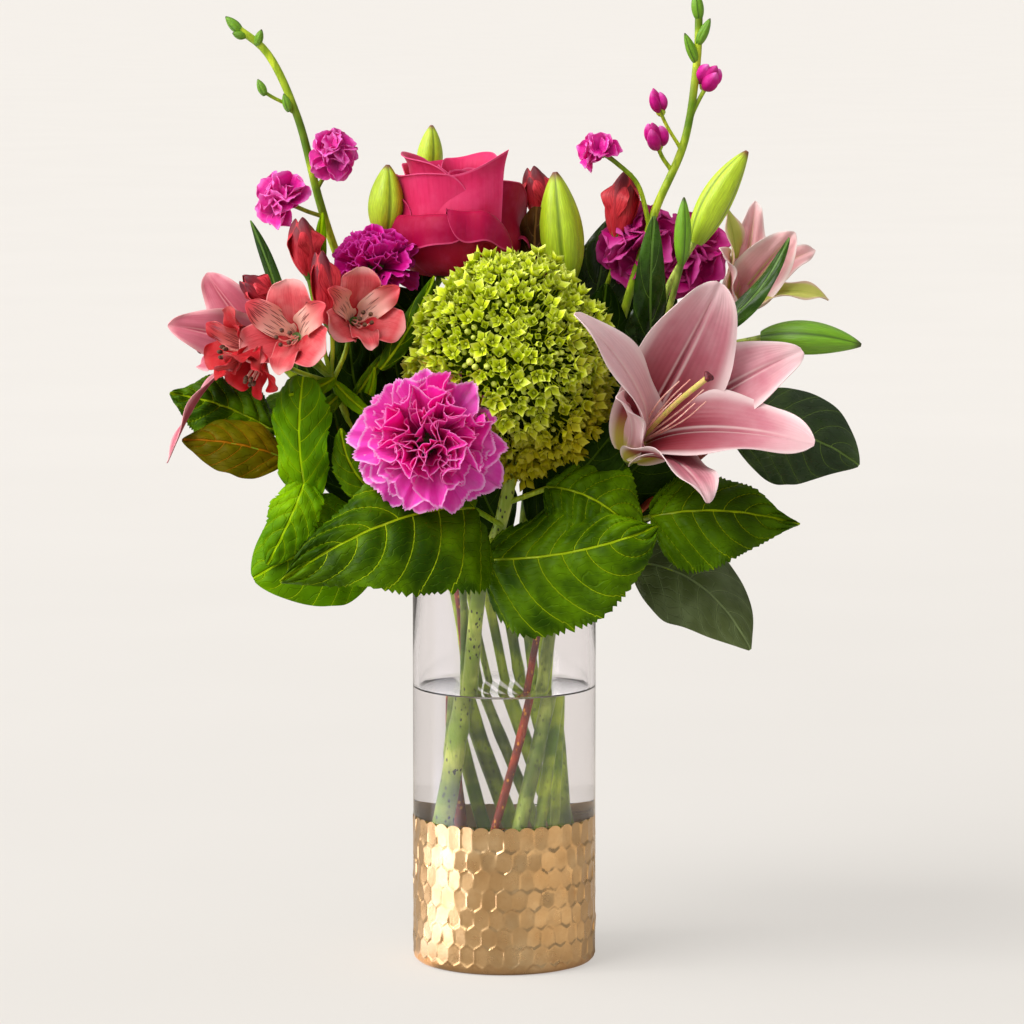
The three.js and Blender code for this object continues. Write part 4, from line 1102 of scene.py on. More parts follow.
SERRATED = dict(skin=LEAF_BRIGHT, slot="leaf_bright", teeth=30, bite=0.075, quilt=2.8, veins=7, wave=2.8,
                along=150)
LEAVES = {
    "hydrangea_leaf_front_left": dict(
        SERRATED, stalk=[(-1, -44, 249), (-16, -60, 260)], mid=(-60, -98, 268), tip=(-119, -96, 225),
        width=64, face=(-0.1, -0.9, 0.42), lobes=(0.9, 1.5), heart=0.5, shoulder=0.42, point=1.0, droop=0.12),
    "hydrangea_leaf_front_right": dict(
        SERRATED, stalk=[(-6, -39, 243), (-8, -57, 232)], mid=(38, -88, 236), tip=(82, -75, 252), width=80,
        face=(0.05, -0.95, 0.3), lobes=(1.05, 0.66), folds=(0.0, 0.3), heart=0.2, shoulder=0.42, point=0.8),
    "hydrangea_leaf_right": dict(
        SERRATED, stalk=[(3, -44, 262), (24, -46, 270)], mid=(50, -66, 272), tip=(74, -62, 244), width=58,
        face=(0.2, -0.85, 0.4)),
    "foliage_leaf_left_upright": dict(
        stalk=[(-98, -31, 273), (-106, -48, 262)], mid=(-114, -64, 296), tip=(-108, -60, 332), width=32,
        face=(-0.3, -0.9, 0.1), skin=LEAF_LIME, slot="leaf_bright", shoulder=0.4, point=0.28, wave=4,
        waves=2.2, quilt=0.7, teeth=7, bite=0.08),
    "foliage_leaf_left_olive": dict(
        stalk=[(-112, -24, 282), (-120, -26, 284)], mid=(-148, -34, 296), tip=(-176, -28, 294), width=36,
        face=(0, -0.8, 0.6), skin=LEAF_OLIVE, slot="leaf_olive", quilt=0.8),
    "foliage_leaf_left_tip": dict(
        SERRATED, stalk=[(-116, -22, 286), (-126, -4, 296)], mid=(-158, -8, 316), tip=(-184, 0, 316),
        width=42, face=(0, -0.8, 0.6)),
    "foliage_leaf_left_low": dict(
        stalk=[(-58, -27, 246), (-66, -42, 238)], mid=(-98, -62, 246), tip=(-136, -58, 222), width=64,
        face=(-0.1, -0.92, 0.35), skin=LEAF_LIME, slot="leaf_bright", quilt=0.5, shoulder=0.5, point=0.6,
        tone=0.2),
    "foliage_leaf_right_serrated": dict(
        SERRATED, stalk=[(66, -32, 249), (80, -46, 254)], mid=(118, -58, 264), tip=(160, -42, 249), width=66,
        face=(0.1, -0.85, 0.5), lobes=(1.0, 0.8), shoulder=0.5, point=1.1, tone=0.4),
    "salal_leaf_right": dict(
        stalk=[(118, 0, 290), (127, 9, 293)], mid=(166, 2, 302), tip=(196, 0, 277), width=58,
        face=(0, -0.9, 0.45), skin=LEAF_DARK, slot="leaf_dark", quilt=0.5),
    "salal_leaf_low": dict(
        stalk=[(48, -26, 233), (70, -24, 226)], mid=(112, -34, 226), tip=(135, -32, 179), width=54,
        face=(0.3, -0.8, 0.4), skin=LEAF_GREY, slot="leaf_dark", quilt=0.4),
    "rear_leaf_left": dict(
        SERRATED, stalk=[(-37, 34, 268), (-48, 48, 272)], mid=(-94, 84, 330), tip=(-142, 100, 290), width=72,
        face=(-0.4, 0.6, 0.7)),
    "rear_leaf_middle_left": dict(
        SERRATED, stalk=[(-10, 41, 288), (-14, 54, 298)], mid=(-34, 98, 336), tip=(-56, 140, 288), width=74,
        face=(-0.2, 0.6, 0.8)),
    "rear_leaf_middle_right": dict(
        SERRATED, stalk=[(17, 41, 284), (26, 54, 290)], mid=(44, 102, 328), tip=(60, 138, 276), width=72,
        face=(0.2, 0.6, 0.8), skin=LEAF_LIME),
    "rear_leaf_right": dict(
        stalk=[(50, 20, 292), (66, 36, 296)], mid=(108, 68, 342), tip=(146, 88, 296), width=66,
        face=(0.4, 0.5, 0.8), skin=LEAF_DARK, slot="leaf_dark", quilt=0.5),
}


def stalked_leaf(stalk, mid, tip, width, face, **form):
    """A blade with its stalk and its rib, which have the second finish."""
    base = stalk[-1]
    blade_shape = leaf_blade(base, mid, tip, width, face, seed=sum(base) % 7, **form)
    stalk_shape = tube(smooth_path(stalk, 10), 1.5, 10, finish=1)
    return combine(blade_shape, stalk_shape, rib(base, mid, tip, face, finish=1))


for name, about in LEAVES.items():
    skin, slot = about.pop("skin"), about.pop("slot")
    place_shape(name + "_fine", stalked_leaf(**about), [skin, STEM_LIME], slot, name)

# Narrow and small leaves on the stems, and the dark ones that fill the heart of the arrangement, in a
# near-black green that paints the shade there.
LANCE = dict(skin=LEAF_LANCE, veins=3, quilt=0.25, wave=0.8, shoulder=0.55, point=0.7, along=48, across=12)
FILLING = dict(skin=LEAF_SHADE, face=(0, -0.95, 0.2), veins=6, quilt=0.6)


def small_leaf(kind, base, mid, tip, width, **own):
    """A leaf of a kind with its place and size, and what sets it apart from its kind."""
    return dict(kind, base=base, mid=mid, tip=tip, width=width, **own)


SMALL_LEAVES = {
    "lily_leaf_left": small_leaf(
        LANCE, (-113, 12, 322), (-122, 6, 372), (-140, 10, 412), 10, face=(-0.5, -0.8, 0.2)),
    "lily_leaf_right_upright": small_leaf(
        LANCE, (82, -18, 336), (77, -48, 368), (81, -50, 418), 18, face=(0.1, -0.9, 0.3)),
    "lily_leaf_right_outer": small_leaf(
        LANCE, (88, -22, 348), (132, -40, 352), (155, -30, 405), 13, face=(-0.4, -0.8, 0.4)),
    "alstroemeria_leaf_centre": small_leaf(
        LANCE, (-67, -50, 335), (-52, -54, 352), (-38, -30, 384), 12, face=(0.2, -0.9, 0.2),
        skin=LEAF_BRIGHT),
    "alstroemeria_leaf_high": small_leaf(
        LANCE, (-100, -22, 384), (-101, -26, 400), (-99, -20, 418), 7, face=(0, -1, 0), skin=LEAF_LIME),
    "stock_leaf_round": small_leaf(
        FILLING, (76, -8, 340), (78, -22, 352), (77, -20, 374), 22, skin=LEAF_DARK, veins=4, quilt=0.3),
    "filler_leaf_middle": small_leaf(FILLING, (2, -36, 243), (-14, -48, 262), (-16, -46, 292), 34, veins=5),
    "filler_leaf_left": small_leaf(
        FILLING, (-44, -16, 252), (-66, -40, 284), (-78, -44, 322), 44, face=(-0.1, -0.95, 0.2)),
    "filler_leaf_left_back": small_leaf(
        FILLING, (-44, 8, 256), (-86, -6, 290), (-112, -2, 336), 52, face=(-0.2, -0.95, 0.2)),
    "filler_leaf_right": small_leaf(
        FILLING, (40, -20, 250), (72, -34, 276), (100, -30, 310), 54, face=(0.1, -0.95, 0.2)),
    "filler_leaf_right_back": small_leaf(FILLING, (44, 0, 262), (74, 2, 300), (96, 0, 352), 50),
    "filler_leaf_centre_back": small_leaf(FILLING, (-20, 24, 262), (-38, 10, 320), (-48, 2, 372), 58),
    "filler_leaf_centre_right": small_leaf(FILLING, (26, 20, 268), (52, 2, 320), (56, 0, 378), 52),
    "filler_leaf_left_middle": small_leaf(
        FILLING, (-40, -6, 262), (-58, -16, 306), (-62, -18, 358), 50, face=(0.1, -0.95, 0.2)),
    "filler_leaf_under_rose": small_leaf(
        FILLING, (-30, 10, 330), (-44, -2, 356), (-70, -4, 376), 34, veins=5),
    "filler_leaf_right_high": small_leaf(FILLING, (52, 6, 316), (66, 20, 350), (92, 24, 392), 54),
    "filler_leaf_lily": small_leaf(FILLING, (80, -10, 300), (104, -6, 326), (122, -2, 360), 44),
    "filler_leaf_front_right": small_leaf(
        FILLING, (14, -40, 250), (40, -50, 274), (64, -44, 306), 48, face=(0, -0.95, 0.3), quilt=0.8),
    "filler_leaf_behind_carnation": small_leaf(
        FILLING, (-36, 14, 330), (-44, 12, 352), (-46, 8, 388), 30, veins=5),
    "filler_leaf_beside_bud": small_leaf(
        FILLING, (40, 14, 330), (52, 22, 366), (58, 22, 412), 40, face=(0, -0.95, 0.1), skin=LEAF_DARK,
        quilt=0.4),
    "filler_leaf_left_high": small_leaf(
        FILLING, (-70, -20, 290), (-86, -26, 322), (-84, -26, 360), 34, quilt=0.7),
    "filler_leaf_left_front": small_leaf(
        FILLING, (-70, -34, 262), (-92, -44, 288), (-94, -40, 326), 40, quilt=0.7),
    "bronze_leaf_beside_rose": small_leaf(
        FILLING, (15, 4, 366), (16, 2, 392), (18, 4, 420), 23, face=(-0.3, -0.95, 0.1), skin=LEAF_BRONZE,
        veins=5, quilt=0.3, shoulder=0.5, point=0.5),
    "serrated_leaf_behind_carnation": small_leaf(
        FILLING, (-62, -48, 262), (-86, -58, 276), (-88, -60, 304), 22, face=(-0.1, -0.95, 0.2),
        skin=LEAF_BRIGHT, tone=0.6, teeth=12, bite=0.14, veins=5, quilt=0.8),
    "leaf_piece_left_low": small_leaf(
        FILLING, (-108, -52, 274), (-114, -66, 256), (-128, -62, 230), 28, face=(-0.2, -0.95, 0.2),
        skin=LEAF_LIME, teeth=11, bite=0.12, veins=5, quilt=0.9, shoulder=0.4, point=0.6),
    "lance_leaf_low_1": small_leaf(
        LANCE, (-92, -46, 328), (-84, -52, 318), (-66, -54, 306), 8, face=(0.2, -0.95, 0.3), skin=LEAF_LIME),
    "lance_leaf_low_2": small_leaf(
        LANCE, (-92, -46, 330), (-100, -56, 324), (-116, -60, 322), 9, face=(0, -0.95, 0.4), skin=LEAF_LIME),
    "lance_leaf_low_3": small_leaf(
        LANCE, (-88, -42, 322), (-96, -50, 314), (-104, -54, 308), 9, face=(0, -0.95, 0.4), skin=LEAF_BRIGHT),
    "lance_leaf_low_4": small_leaf(
        LANCE, (-84, -38, 314), (-74, -44, 330), (-62, -46, 346), 7, face=(0.2, -0.95, 0.1),
        skin=LEAF_BRIGHT),
    "lance_leaf_low_5": small_leaf(
        LANCE, (-80, -36, 306), (-72, -44, 318), (-70, -46, 336), 6, face=(0.2, -0.95, 0.1), skin=LEAF_LIME),
}
for i, (name, about) in enumerate(SMALL_LEAVES.items()):
    skin = about.pop("skin")
    place_shape(name, leaf_blade(seed=i * 1.7, **about), [skin], "leaf_dark")


# ---------------------------------------------------------------- petals that grow from one point
def petal_blade(base, axis, tip, width, cup=0.25, bulge=7, inset=3, narrow=0.5, blunt=0.6, wave=1.2,
                groove=1.0, recurve=0.0, belly=0.0, across=22, along=54, thickness=0.7, tone=0.0, finish=0,
                seed=0.0):
    """A petal that rises along the flower's axis and then turns out to its tip."""
    root, up, end = vec(*base), unit(axis), vec(*tip)
    reach = end - root
    radial = unit(reach - up * (reach @ up))
    side = np.cross(up, radial)
    length = np.linalg.norm(reach)
    root = root + radial * inset
    curve = [root, root + up * length * 0.35 + radial * (length * 0.08 + belly),
             lerp(root, end, 0.72) + up * bulge + radial * belly, end]

    def surface(u, v):
        half = np.maximum(width / 2 * swelling(0.02 + 0.972 * v, narrow, blunt), 0.5)
        off = np.abs(u)
        ahead = heading(curve, v)
        inward = units(np.cross(ahead, np.broadcast_to(side, ahead.shape)))
        far = u * half
        fading = groove * np.sin(math.pi * v) ** 0.5
        rise = cup * off ** 2 * half - np.exp(-((far / 1.3) ** 2)) * fading
        rise += 0.7 * np.exp(-(((np.abs(far) - 3.0) / 1.4) ** 2)) * fading
        ripple = np.sin(4.4 * math.pi * v + seed + 1.3 * np.sign(u))
        rise += wave * off ** 3 * ripple * np.clip(half / 6, 0, 1)
        rise -= recurve * v ** 5
        return bezier(curve, v) + side * far[..., None] + inward * rise[..., None]

    return blade(surface, across, along, thickness, tone, finish)


def numbered(skins):
    """The place of each named finish in a piece's list of finishes."""
    return {key: i for i, key in enumerate(skins)}


# Each petal: its tip, its width, how far its tip turns back and, where it is twisted, the axis it faces.
# A lily's greened petals have the green-backed finish, and the petals it paints lighter are paler: painted
# light on petals that stand in shade.
LILIES = {
    "lily_front": dict(
        base=(67, -50, 288), axis=(0.5, -0.5, 0.7), skin=LILY, pistil=(108, -100, 335), painted_lighter=(0, 5),
        petals=[((45, -104, 371), 32, 9, (0.9, -0.4, 0.1)), ((117, -60, 382), 54, 3),
                ((161, -48, 347), 44, 5), ((166, -84, 301), 50, 4, (0.2, -0.6, 0.75)),
                ((110, -114, 275), 34, 6), ((62, -102, 326), 24, 3)]),
    "lily_right": dict(
        base=(125, 20, 362), axis=(0.5, 0.1, 0.85), skin=LILY_PALE, pistil=(151, 24, 396), greened=(0, 4),
        petals=[((122, 8, 422), 17, 2, (0.6, -0.5, 0.6)), ((140, 30, 422), 21, 1, (0.3, -0.8, 0.4)),
                ((160, 4, 406), 29, 3, (0.3, -0.8, 0.5)), ((174, 34, 396), 22, 3, (0.2, -0.7, 0.7)),
                ((180, 6, 372), 17, 5, (0.2, -0.6, 0.8)), ((119, 0, 398), 17, 1, (0.6, -0.4, 0.7))]),
    "lily_left": dict(
        base=(-129, 10, 340), axis=(-0.85, -0.1, 0.3), skin=LILY_CORAL, pistil=(-168, 8, 342),
        petals=[((-165, 12, 383), 30, 1, (-0.3, -0.9, 0.2)), ((-185, -8, 356), 30, 2, (-0.2, -0.9, 0.3)),
                ((-184, -45, 284), 14, 1), ((-172, 40, 330), 26, 2), ((-150, 50, 372), 24, 2),
                ((-160, 30, 300), 22, 2)]),
}
LILY_SKINS = {"petal": LILY, "style": STYLE, "stigma": STIGMA, "filament": FILAMENT, "greened": LILY_GREEN}


def lily(base, axis, petals, pistil, greened=(), painted_lighter=()):
    """Six petals, a style with its three-lobed stigma and six filaments round it."""
    which = numbered(LILY_SKINS)
    shapes = []
    for i, (tip, width, recurve, *facing) in enumerate(petals):
        # tone 1 paints a petal paler: painted light on a petal that stands in shade
        shapes.append(petal_blade(
            base, facing[0] if facing else axis, tip, width, inset=2.2 if i % 2 else 5, recurve=recurve,
            seed=i * 2.1, groove=1.2 if width > 20 else 0.5, wave=2.2, blunt=0.68 if width > 31 else 0.85,
            tone=1.0 if i in painted_lighter else 0.0, finish=which["greened" if i in greened else "petal"]))
    throat = vec(*base) + unit(axis) * 14
    shapes.append(tube(smooth_path([base, throat], 8), np.linspace(3, 5.5, 8), 16, finish=which["style"]))
    style = smooth_path([throat, lerp(throat, pistil, 0.55) + vec(0, -2, 2), pistil], 24)
    shapes.append(tube(style, np.linspace(1.3, 1.6, 24), 12, finish=which["style"]))

    def lobes(angle, t):
        return 1 + 0.22 * np.cos(3 * angle)

    direction = unit(style[-1] - style[-2])
    knob = np.array([vec(*pistil) + direction * s for s in np.linspace(-0.6, 2.6, 7)])
    knob_radii = 3.0 * np.sin(np.linspace(0.35, 2.9, 7)) ** 0.6
    shapes.append(tube(knob, knob_radii, 18, lobes, finish=which["stigma"]))
    turn = frame_of(axis)
    for k in range(6):
        out = turn @ ring_point(1, 60 * k + 25, 0)
        end = lerp(throat, pistil, 0.78) + out * 9
        bowed = lerp(throat, end, 0.6) + out * 3
        line = smooth_path([throat + out * 2, bowed, end], 14)
        shapes.append(tube(line, np.linspace(0.6, 0.35, 14), 8, finish=which["filament"]))
    return combine(*shapes)


for name, about in LILIES.items():
    skins = {**LILY_SKINS, "petal": about.pop("skin")}
    place_shape(name + "_fine", lily(**about), skins.values(), "lily", name)


# ---------------------------------------------------------------- rose
ROSE_AT = {"base": (-24, 15, 380), "top": (-24, 19, 448)}


def rose_petal(azimuth, spread, profile, dips=(0.1, 0.1), flares=(0, 0), corners=(0.25, 0.25), wave=0.7,
               tone=0.0, seed=0.0):
    """One petal: profile gives its (radius, height) from the base to the edge, dips lower its left and
    right shoulders, corners round them and flares open them; azimuth and spread, half its width, are in
    degrees."""
    middle, half = math.radians(azimuth), math.radians(spread)
    steps = 40
    line = smooth_path([(r, 0, z) for r, z in profile], steps + 1)

    def surface(u, v):
        off = np.abs(u)
        dip = np.where(u < 0, *dips) * off ** 1.6
        reach = steps * v * (1 - np.where(u < 0, *corners) * off ** 6)
        flare = np.where(u < 0, *flares) * off ** 1.5 * v ** 3
        r = np.interp(reach, np.arange(steps + 1), line[:, 0])
        z = np.interp(reach, np.arange(steps + 1), line[:, 2])
        r = r + flare + wave * v ** 3 * (np.sin(4 * u + seed) + 0.5 * np.sin(9 * u + 3 * seed))
        r = r + 0.9 * np.sin(5 * u + seed) * np.sin(math.pi * v)
        z = z * (1 - dip * v ** 1.5) + 0.9 * wave * v ** 4 * np.sin(6 * u + 2 * seed)
        angle = middle + half * u * (0.3 + 0.7 * np.sin(math.pi / 2 * np.minimum(v / 0.45, 1)))
        return np.stack([r * np.cos(angle), r * np.sin(angle), z], -1)

    return blade(surface, 34, 44, 0.6, tone)


def cup(radius, height, mouth, flare=0.0, lip=0.0):
    """An upright petal's profile, with an edge that opens by flare and turns down by lip."""
    profile = [(4, 0), (0.72 * radius, 0.07 * height), (radius, 0.33 * height),
               (0.98 * radius, 0.62 * height), (mouth, 0.9 * height), (mouth + flare, height)]
    return profile + ([(mouth + flare + 0.8 * lip, height - lip)] if lip else [])


def folded(radius, crest, hang):
    """An outer petal's profile: it rises to its crest and folds over, and its edge hangs down."""
    return [(6, 0), (0.66 * radius, 0.09 * crest), (0.9 * radius, 0.4 * crest), (0.97 * radius, 0.78 * crest),
            (radius, crest), (radius + 4, crest + 0.3), (radius + 6.5, crest - 0.35 * hang),
            (radius + 6.5, crest - hang)]


# The petals from the heart outwards: the first spiral is closed, the last ones fold over.
ROSE_PETALS = [
    dict(azimuth=k * 137.5, spread=98 - 5 * k, profile=cup(6 + 2.4 * k, 58 + k, 3.5 + 2.2 * k, 1), tone=0.5,
         seed=k) for k in range(5)
] + [
    dict(azimuth=60, spread=80, profile=cup(20, 69, 19, 4, 0.4), dips=(0.02, 0.04), wave=1.3, seed=1),
    dict(azimuth=-10, spread=62, profile=cup(19, 62, 15, 2), dips=(0.12, -0.04), seed=3),
    dict(azimuth=-165, spread=84, profile=cup(27, 69, 28, 4, 0.4), dips=(0.02, 0.3), wave=1.6, seed=2),
    dict(azimuth=115, spread=66, profile=cup(30, 66, 30, 4, 1), tone=0.1, wave=1.2, seed=5),
    dict(azimuth=15, spread=60, profile=cup(29, 49, 26, 2, 0.4), tone=0.6, seed=4),
    dict(azimuth=-142, spread=66, profile=cup(34, 57.5, 35, 2, 0.8), dips=(0.0, 0.0), corners=(0.12, 0.3),
         wave=0.6, seed=6),
    dict(azimuth=-98, spread=43, profile=cup(36, 56, 32, 1), dips=(0.5, -0.25), flares=(0, 14),
         corners=(0.1, 0.0), wave=0.4, tone=0.25, seed=7),
    # tone 1 gives this petal on the right the heart's darker colour: painted shade
    dict(azimuth=-28, spread=60, profile=cup(33.5, 53, 35.5, 1, 0.4), dips=(-0.05, 1.0), flares=(-10, 0),
         corners=(0.1, 0.3), tone=1.0, wave=0.6, seed=8),
    dict(azimuth=72, spread=56, profile=cup(36, 50, 34, 3, 1.5), dips=(1.0, 0.1), tone=0.8, wave=1.0, seed=9),
    dict(azimuth=108, spread=58, profile=cup(38, 55, 36, 5, 3), tone=0.3, wave=1.0, seed=10),
    dict(azimuth=168, spread=54, profile=cup(36, 46, 33, 2, 1), tone=0.6, wave=0.8, seed=11),
    dict(azimuth=-128, spread=50, profile=folded(35.5, 34, 17), dips=(0.06, 0.0), corners=(0.45, 0.3),
         wave=1.4, tone=1.0, seed=12),
    dict(azimuth=-74, spread=28, profile=folded(37.5, 36, 16), dips=(-0.03, 0.5), corners=(0.3, 0.3),
         wave=0.9, tone=0.9, seed=13),
    dict(azimuth=20, spread=50, profile=folded(34, 24, 10), corners=(0.4, 0.4), tone=0.7, seed=14),
    dict(azimuth=95, spread=52, profile=folded(36, 32, 14), corners=(0.4, 0.4), tone=0.6, seed=15),
    dict(azimuth=165, spread=46, profile=folded(34, 24, 10), corners=(0.4, 0.4), tone=0.7, seed=16),
]


def rose():
    """The rose's petals, with the hip and the sepals under them."""
    axis = vec(*ROSE_AT["top"]) - vec(*ROSE_AT["base"])
    turn = frame_of(axis, (0, 1, 0))
    petals = [rose_petal(**about) for about in ROSE_PETALS]
    hip = tube([(0, 0, -4), (0, 0, -1), (0, 0, 3)], [3.4, 5.5, 6], 20, finish=1)
    sepals = []
    for azimuth in range(20, 380, 72):
        tip = ring_point(24, azimuth, -4 + 6 * math.sin(azimuth))  # each hangs differently
        sepals.append(petal_blade((0, 0, 0), (0, 0, 1), tip, 8, bulge=8, groove=0.3, finish=1))
    return combine(*petals, hip, *sepals).turned(turn, ROSE_AT["base"])


place_shape("rose_fine", rose(), [ROSE, CALYX], "rose", "rose")


# ---------------------------------------------------------------- carnations
def leaning(azimuth, tilt):
    """The way out at an azimuth, and the turn that leans a petal that way by tilt."""
    out = vec(math.cos(azimuth), math.sin(azimuth), 0)
    stand = out * math.sin(tilt) + vec(0, 0, math.cos(tilt))
    back = unit(out * math.cos(tilt) - vec(0, 0, math.sin(tilt)))
    return out, np.column_stack([np.cross(back, stand), back, stand])


def frilled_petal(length, width, ruffle, teeth, seed, bend, folds=4.2):
    """A fan-shaped petal with a narrow claw and a frilled, toothed edge; it stands up along +Z."""
    rng = np.random.default_rng(seed)
    phase = rng.uniform(0, 2 * math.pi, 4)

    def surface(u, v):
        saw = np.abs((u * teeth / 2 + phase[0]) % 1 - 0.5) * 2
        reach = length * v * (1 - 0.2 * np.abs(u) ** 3) * (1 + 0.035 * (saw - 0.5) * v ** 6)
        reach = reach * (1 + 0.05 * np.sin(3 * u + phase[1]))
        half = width / 2 * (0.1 + 0.9 * v ** 1.15)
        fold = ruffle * v ** 1.6 * (np.sin(folds * u + phase[1]) + 0.5 * np.sin(2.3 * folds * u + phase[2])
                                    + 0.15 * np.sin(4.6 * folds * u + phase[3]) * v ** 3)
        y = bend * reach ** 2 / length + fold
        slip = 0.25 * ruffle * v ** 2 * np.sin(2 * folds * u + phase[3])
        return np.stack([u * half * (1 - 0.12 * v) + slip, y, reach], -1)

    return blade(surface, 32, 14, 0.35)


def carnation_places(at, axis, radius, depth, rings, seed):
    """Where each petal springs from the calyx, how far it leans out and how large it is.

    A ring is a count of petals with their lean in degrees, its scatter, size, tone, kind and how far
    from the middle they spring; kinds 0 to 3 are broad petals and 4 to 7 are crumpled ones."""
    rng = np.random.default_rng(seed)
    turn = frame_of(axis)
    root = vec(*at) - unit(axis) * depth * 0.8
    places = []
    for ring, (count, lean, scatter, size, tone, kind, spread) in enumerate(rings):
        for k in range(count):
            azimuth = 2 * math.pi * (k + 0.5 * (ring % 2) + rng.uniform(-0.3, 0.3)) / count
            tilt = math.radians(max(lean + rng.uniform(-scatter, scatter), 0))
            out, local = leaning(azimuth, tilt)
            twist = np.array(Matrix.Rotation(rng.uniform(-1, 1) * (1.4 if kind else 0.35), 3, "Z"))
            places.append(dict(
                at=root + turn @ (out * rng.uniform(0.3, 1.0) * spread), turn=turn @ local @ twist,
                size=radius / 38 * size * rng.uniform(0.84, 1.06), pick=int(rng.integers(kind, kind + 4)),
                tone=float(np.clip(tone + rng.uniform(-0.15, 0.15), 0, 1))))
    return places


def carnation(name, at, axis, radius, depth, calyx, rings, petals, skin, slot, seed):
    """A head of petals in rings and the calyx that holds them."""
    mesh = set_petals(name + "_petals", carnation_places(at, axis, radius, depth, rings, seed), petals, skin)
    place(name + "_petals", mesh, slot, name)
    back = -unit(axis)
    start = vec(*at) + back * (depth * 0.45)
    end = vec(*at) + back * (depth * 0.5 + calyx)
    holder = tube(smooth_path([end, lerp(end, start, 0.5), start], 14), np.linspace(3.6, 7.6, 14), 20,
                  lambda angle, t: 1 + 0.05 * np.cos(5 * angle) * t)
    place_shape(name + "_calyx", holder, [CALYX], slot, name)


def carnation_kinds(name, width, teeth, ruffle, seed, finish):
    """Four broad petals for the outside and four crumpled ones for the heart."""
    broad = [frilled_petal(38, width, ruffle + 0.3 * k, teeth, seed + k, 0.14 + 0.06 * (k % 3))
             for k in range(4)]
    crumpled = [frilled_petal(36, width * 0.85, 4.0 + 0.5 * k, teeth, seed + 9 + k, 0.06 * (k - 1),
                              2.7 + 0.3 * k) for k in range(4)]
    return bunch_of(name, broad + crumpled, finish)


PINK_PETALS = carnation_kinds("pink_frills", 32, 15, 2.4, 40, CARNATION_PINK)
MAGENTA_PETALS = carnation_kinds("magenta_frills", 40, 9, 2.8, 60, CARNATION_MAGENTA)
carnation("pink_carnation", (-40, -98, 302), (0, -0.97, 0.2), 36, 20, 14,
          [(12, 84, 9, 1.05, 0.0, 0, 3), (11, 70, 10, 1.02, 0.05, 0, 3), (10, 57, 10, 1.0, 0.2, 0, 4),
           (11, 45, 10, 0.98, 0.5, 4, 5), (11, 33, 10, 0.96, 0.75, 4, 7), (10, 20, 10, 0.92, 0.9, 4, 9),
           (8, 8, 8, 0.88, 1.0, 4, 8)],
          PINK_PETALS, CARNATION_PINK, "carnation_pink", 7)
# The magenta head's outer ring has tone 1, the heart's darker colour: painted shade on its lowest petals.
carnation("magenta_carnation", (-72, -20, 399), (-0.1, -0.5, 0.86), 22, 17, 12,
          [(7, 92, 6, 1.05, 1.0, 0, 2), (8, 74, 8, 1.0, 0.6, 0, 2), (8, 56, 9, 1.05, 0.4, 0, 3),
           (9, 42, 9, 1.05, 0.25, 4, 4), (9, 28, 9, 1.05, 0.15, 4, 5), (8, 14, 8, 1.05, 0.1, 4, 6),
           (5, 4, 4, 1.05, 0.1, 4, 5)],
          MAGENTA_PETALS, CARNATION_MAGENTA, "carnation_magenta", 8)


# ---------------------------------------------------------------- hydrangea
HYDRANGEA = {"at": (5, -40, 336), "across": 55, "deep": 50, "tall": 62}
FLORETS = {"Spacing": 3.9 * MM, "Seed": 11, "Smallest": 0.75, "Largest": 1.35, "Lean": 0.5}
STALK = 9  # a floret's stalk reaches this far into the head


def floret(open_to, length, width, lift=0.0):
    """A four-petalled floret on its stalk, a few dozen faces; open_to 0 is shut and 1 is flat."""
    points, faces, pattern = [], [], []
    rise = math.radians(78 * (1 - open_to) + 8)
    for k in range(4):
        a = 2 * math.pi * k / 4
        out, side = vec(math.cos(a), math.sin(a), 0), vec(-math.sin(a), math.cos(a), 0)
        run = out * math.cos(rise) + vec(0, 0, math.sin(rise))
        face = np.cross(side, run) * -1
        start = len(points)
        points += [out * 0.3, run * length * 0.55 + side * width / 2 + face * 0.8,
                   run * length * 0.55 - side * width / 2 + face * 0.8, run * length + face * 0.8,
                   run * length * 0.5 - face * 0.1, run * length * 0.5 - face * 0.6]
        pattern += [(0, 0, 0), (1, 0.8, 0), (-1, 0.8, 0), (0, 1, 0), (0, 0.4, 0), (0, 0.4, 1)]
        for a0, b0 in ((0, 1), (1, 3), (3, 2), (2, 0)):
            faces.append([start + b0, start + a0, start + 4])
            faces.append([start + a0, start + b0, start + 5])
    petals_shape = Shape(points, faces, pattern)
    eye = tube([(0, 0, -0.4), (0, 0, 0.6), (0, 0, 1.5)], [0.6, 1.0, 0.3], 5)
    eye.pattern[:, 1] = 0.9
    stem = tube([(0, 0, -STALK), (0, 0, 0)], [0.35, 0.35], 3)
    return combine(petals_shape, eye, stem).turned(np.eye(3), (0, 0, lift))


def floret_bud(size, lift=0.0):
    """A floret that hasn't opened: a small ball on its stalk."""
    ball = tube([(0, 0, -size), (0, 0, -size * 0.4), (0, 0, size * 0.5), (0, 0, size)],
                [size * 0.35, size * 0.95, size * 0.85, size * 0.25], 7)
    ball.pattern[:, 1] = 0.6 + 0.38 * ball.pattern[:, 1]
    stem = tube([(0, 0, -STALK), (0, 0, -size)], [0.35, 0.35], 3)
    return combine(ball, stem).turned(np.eye(3), (0, 0, lift))


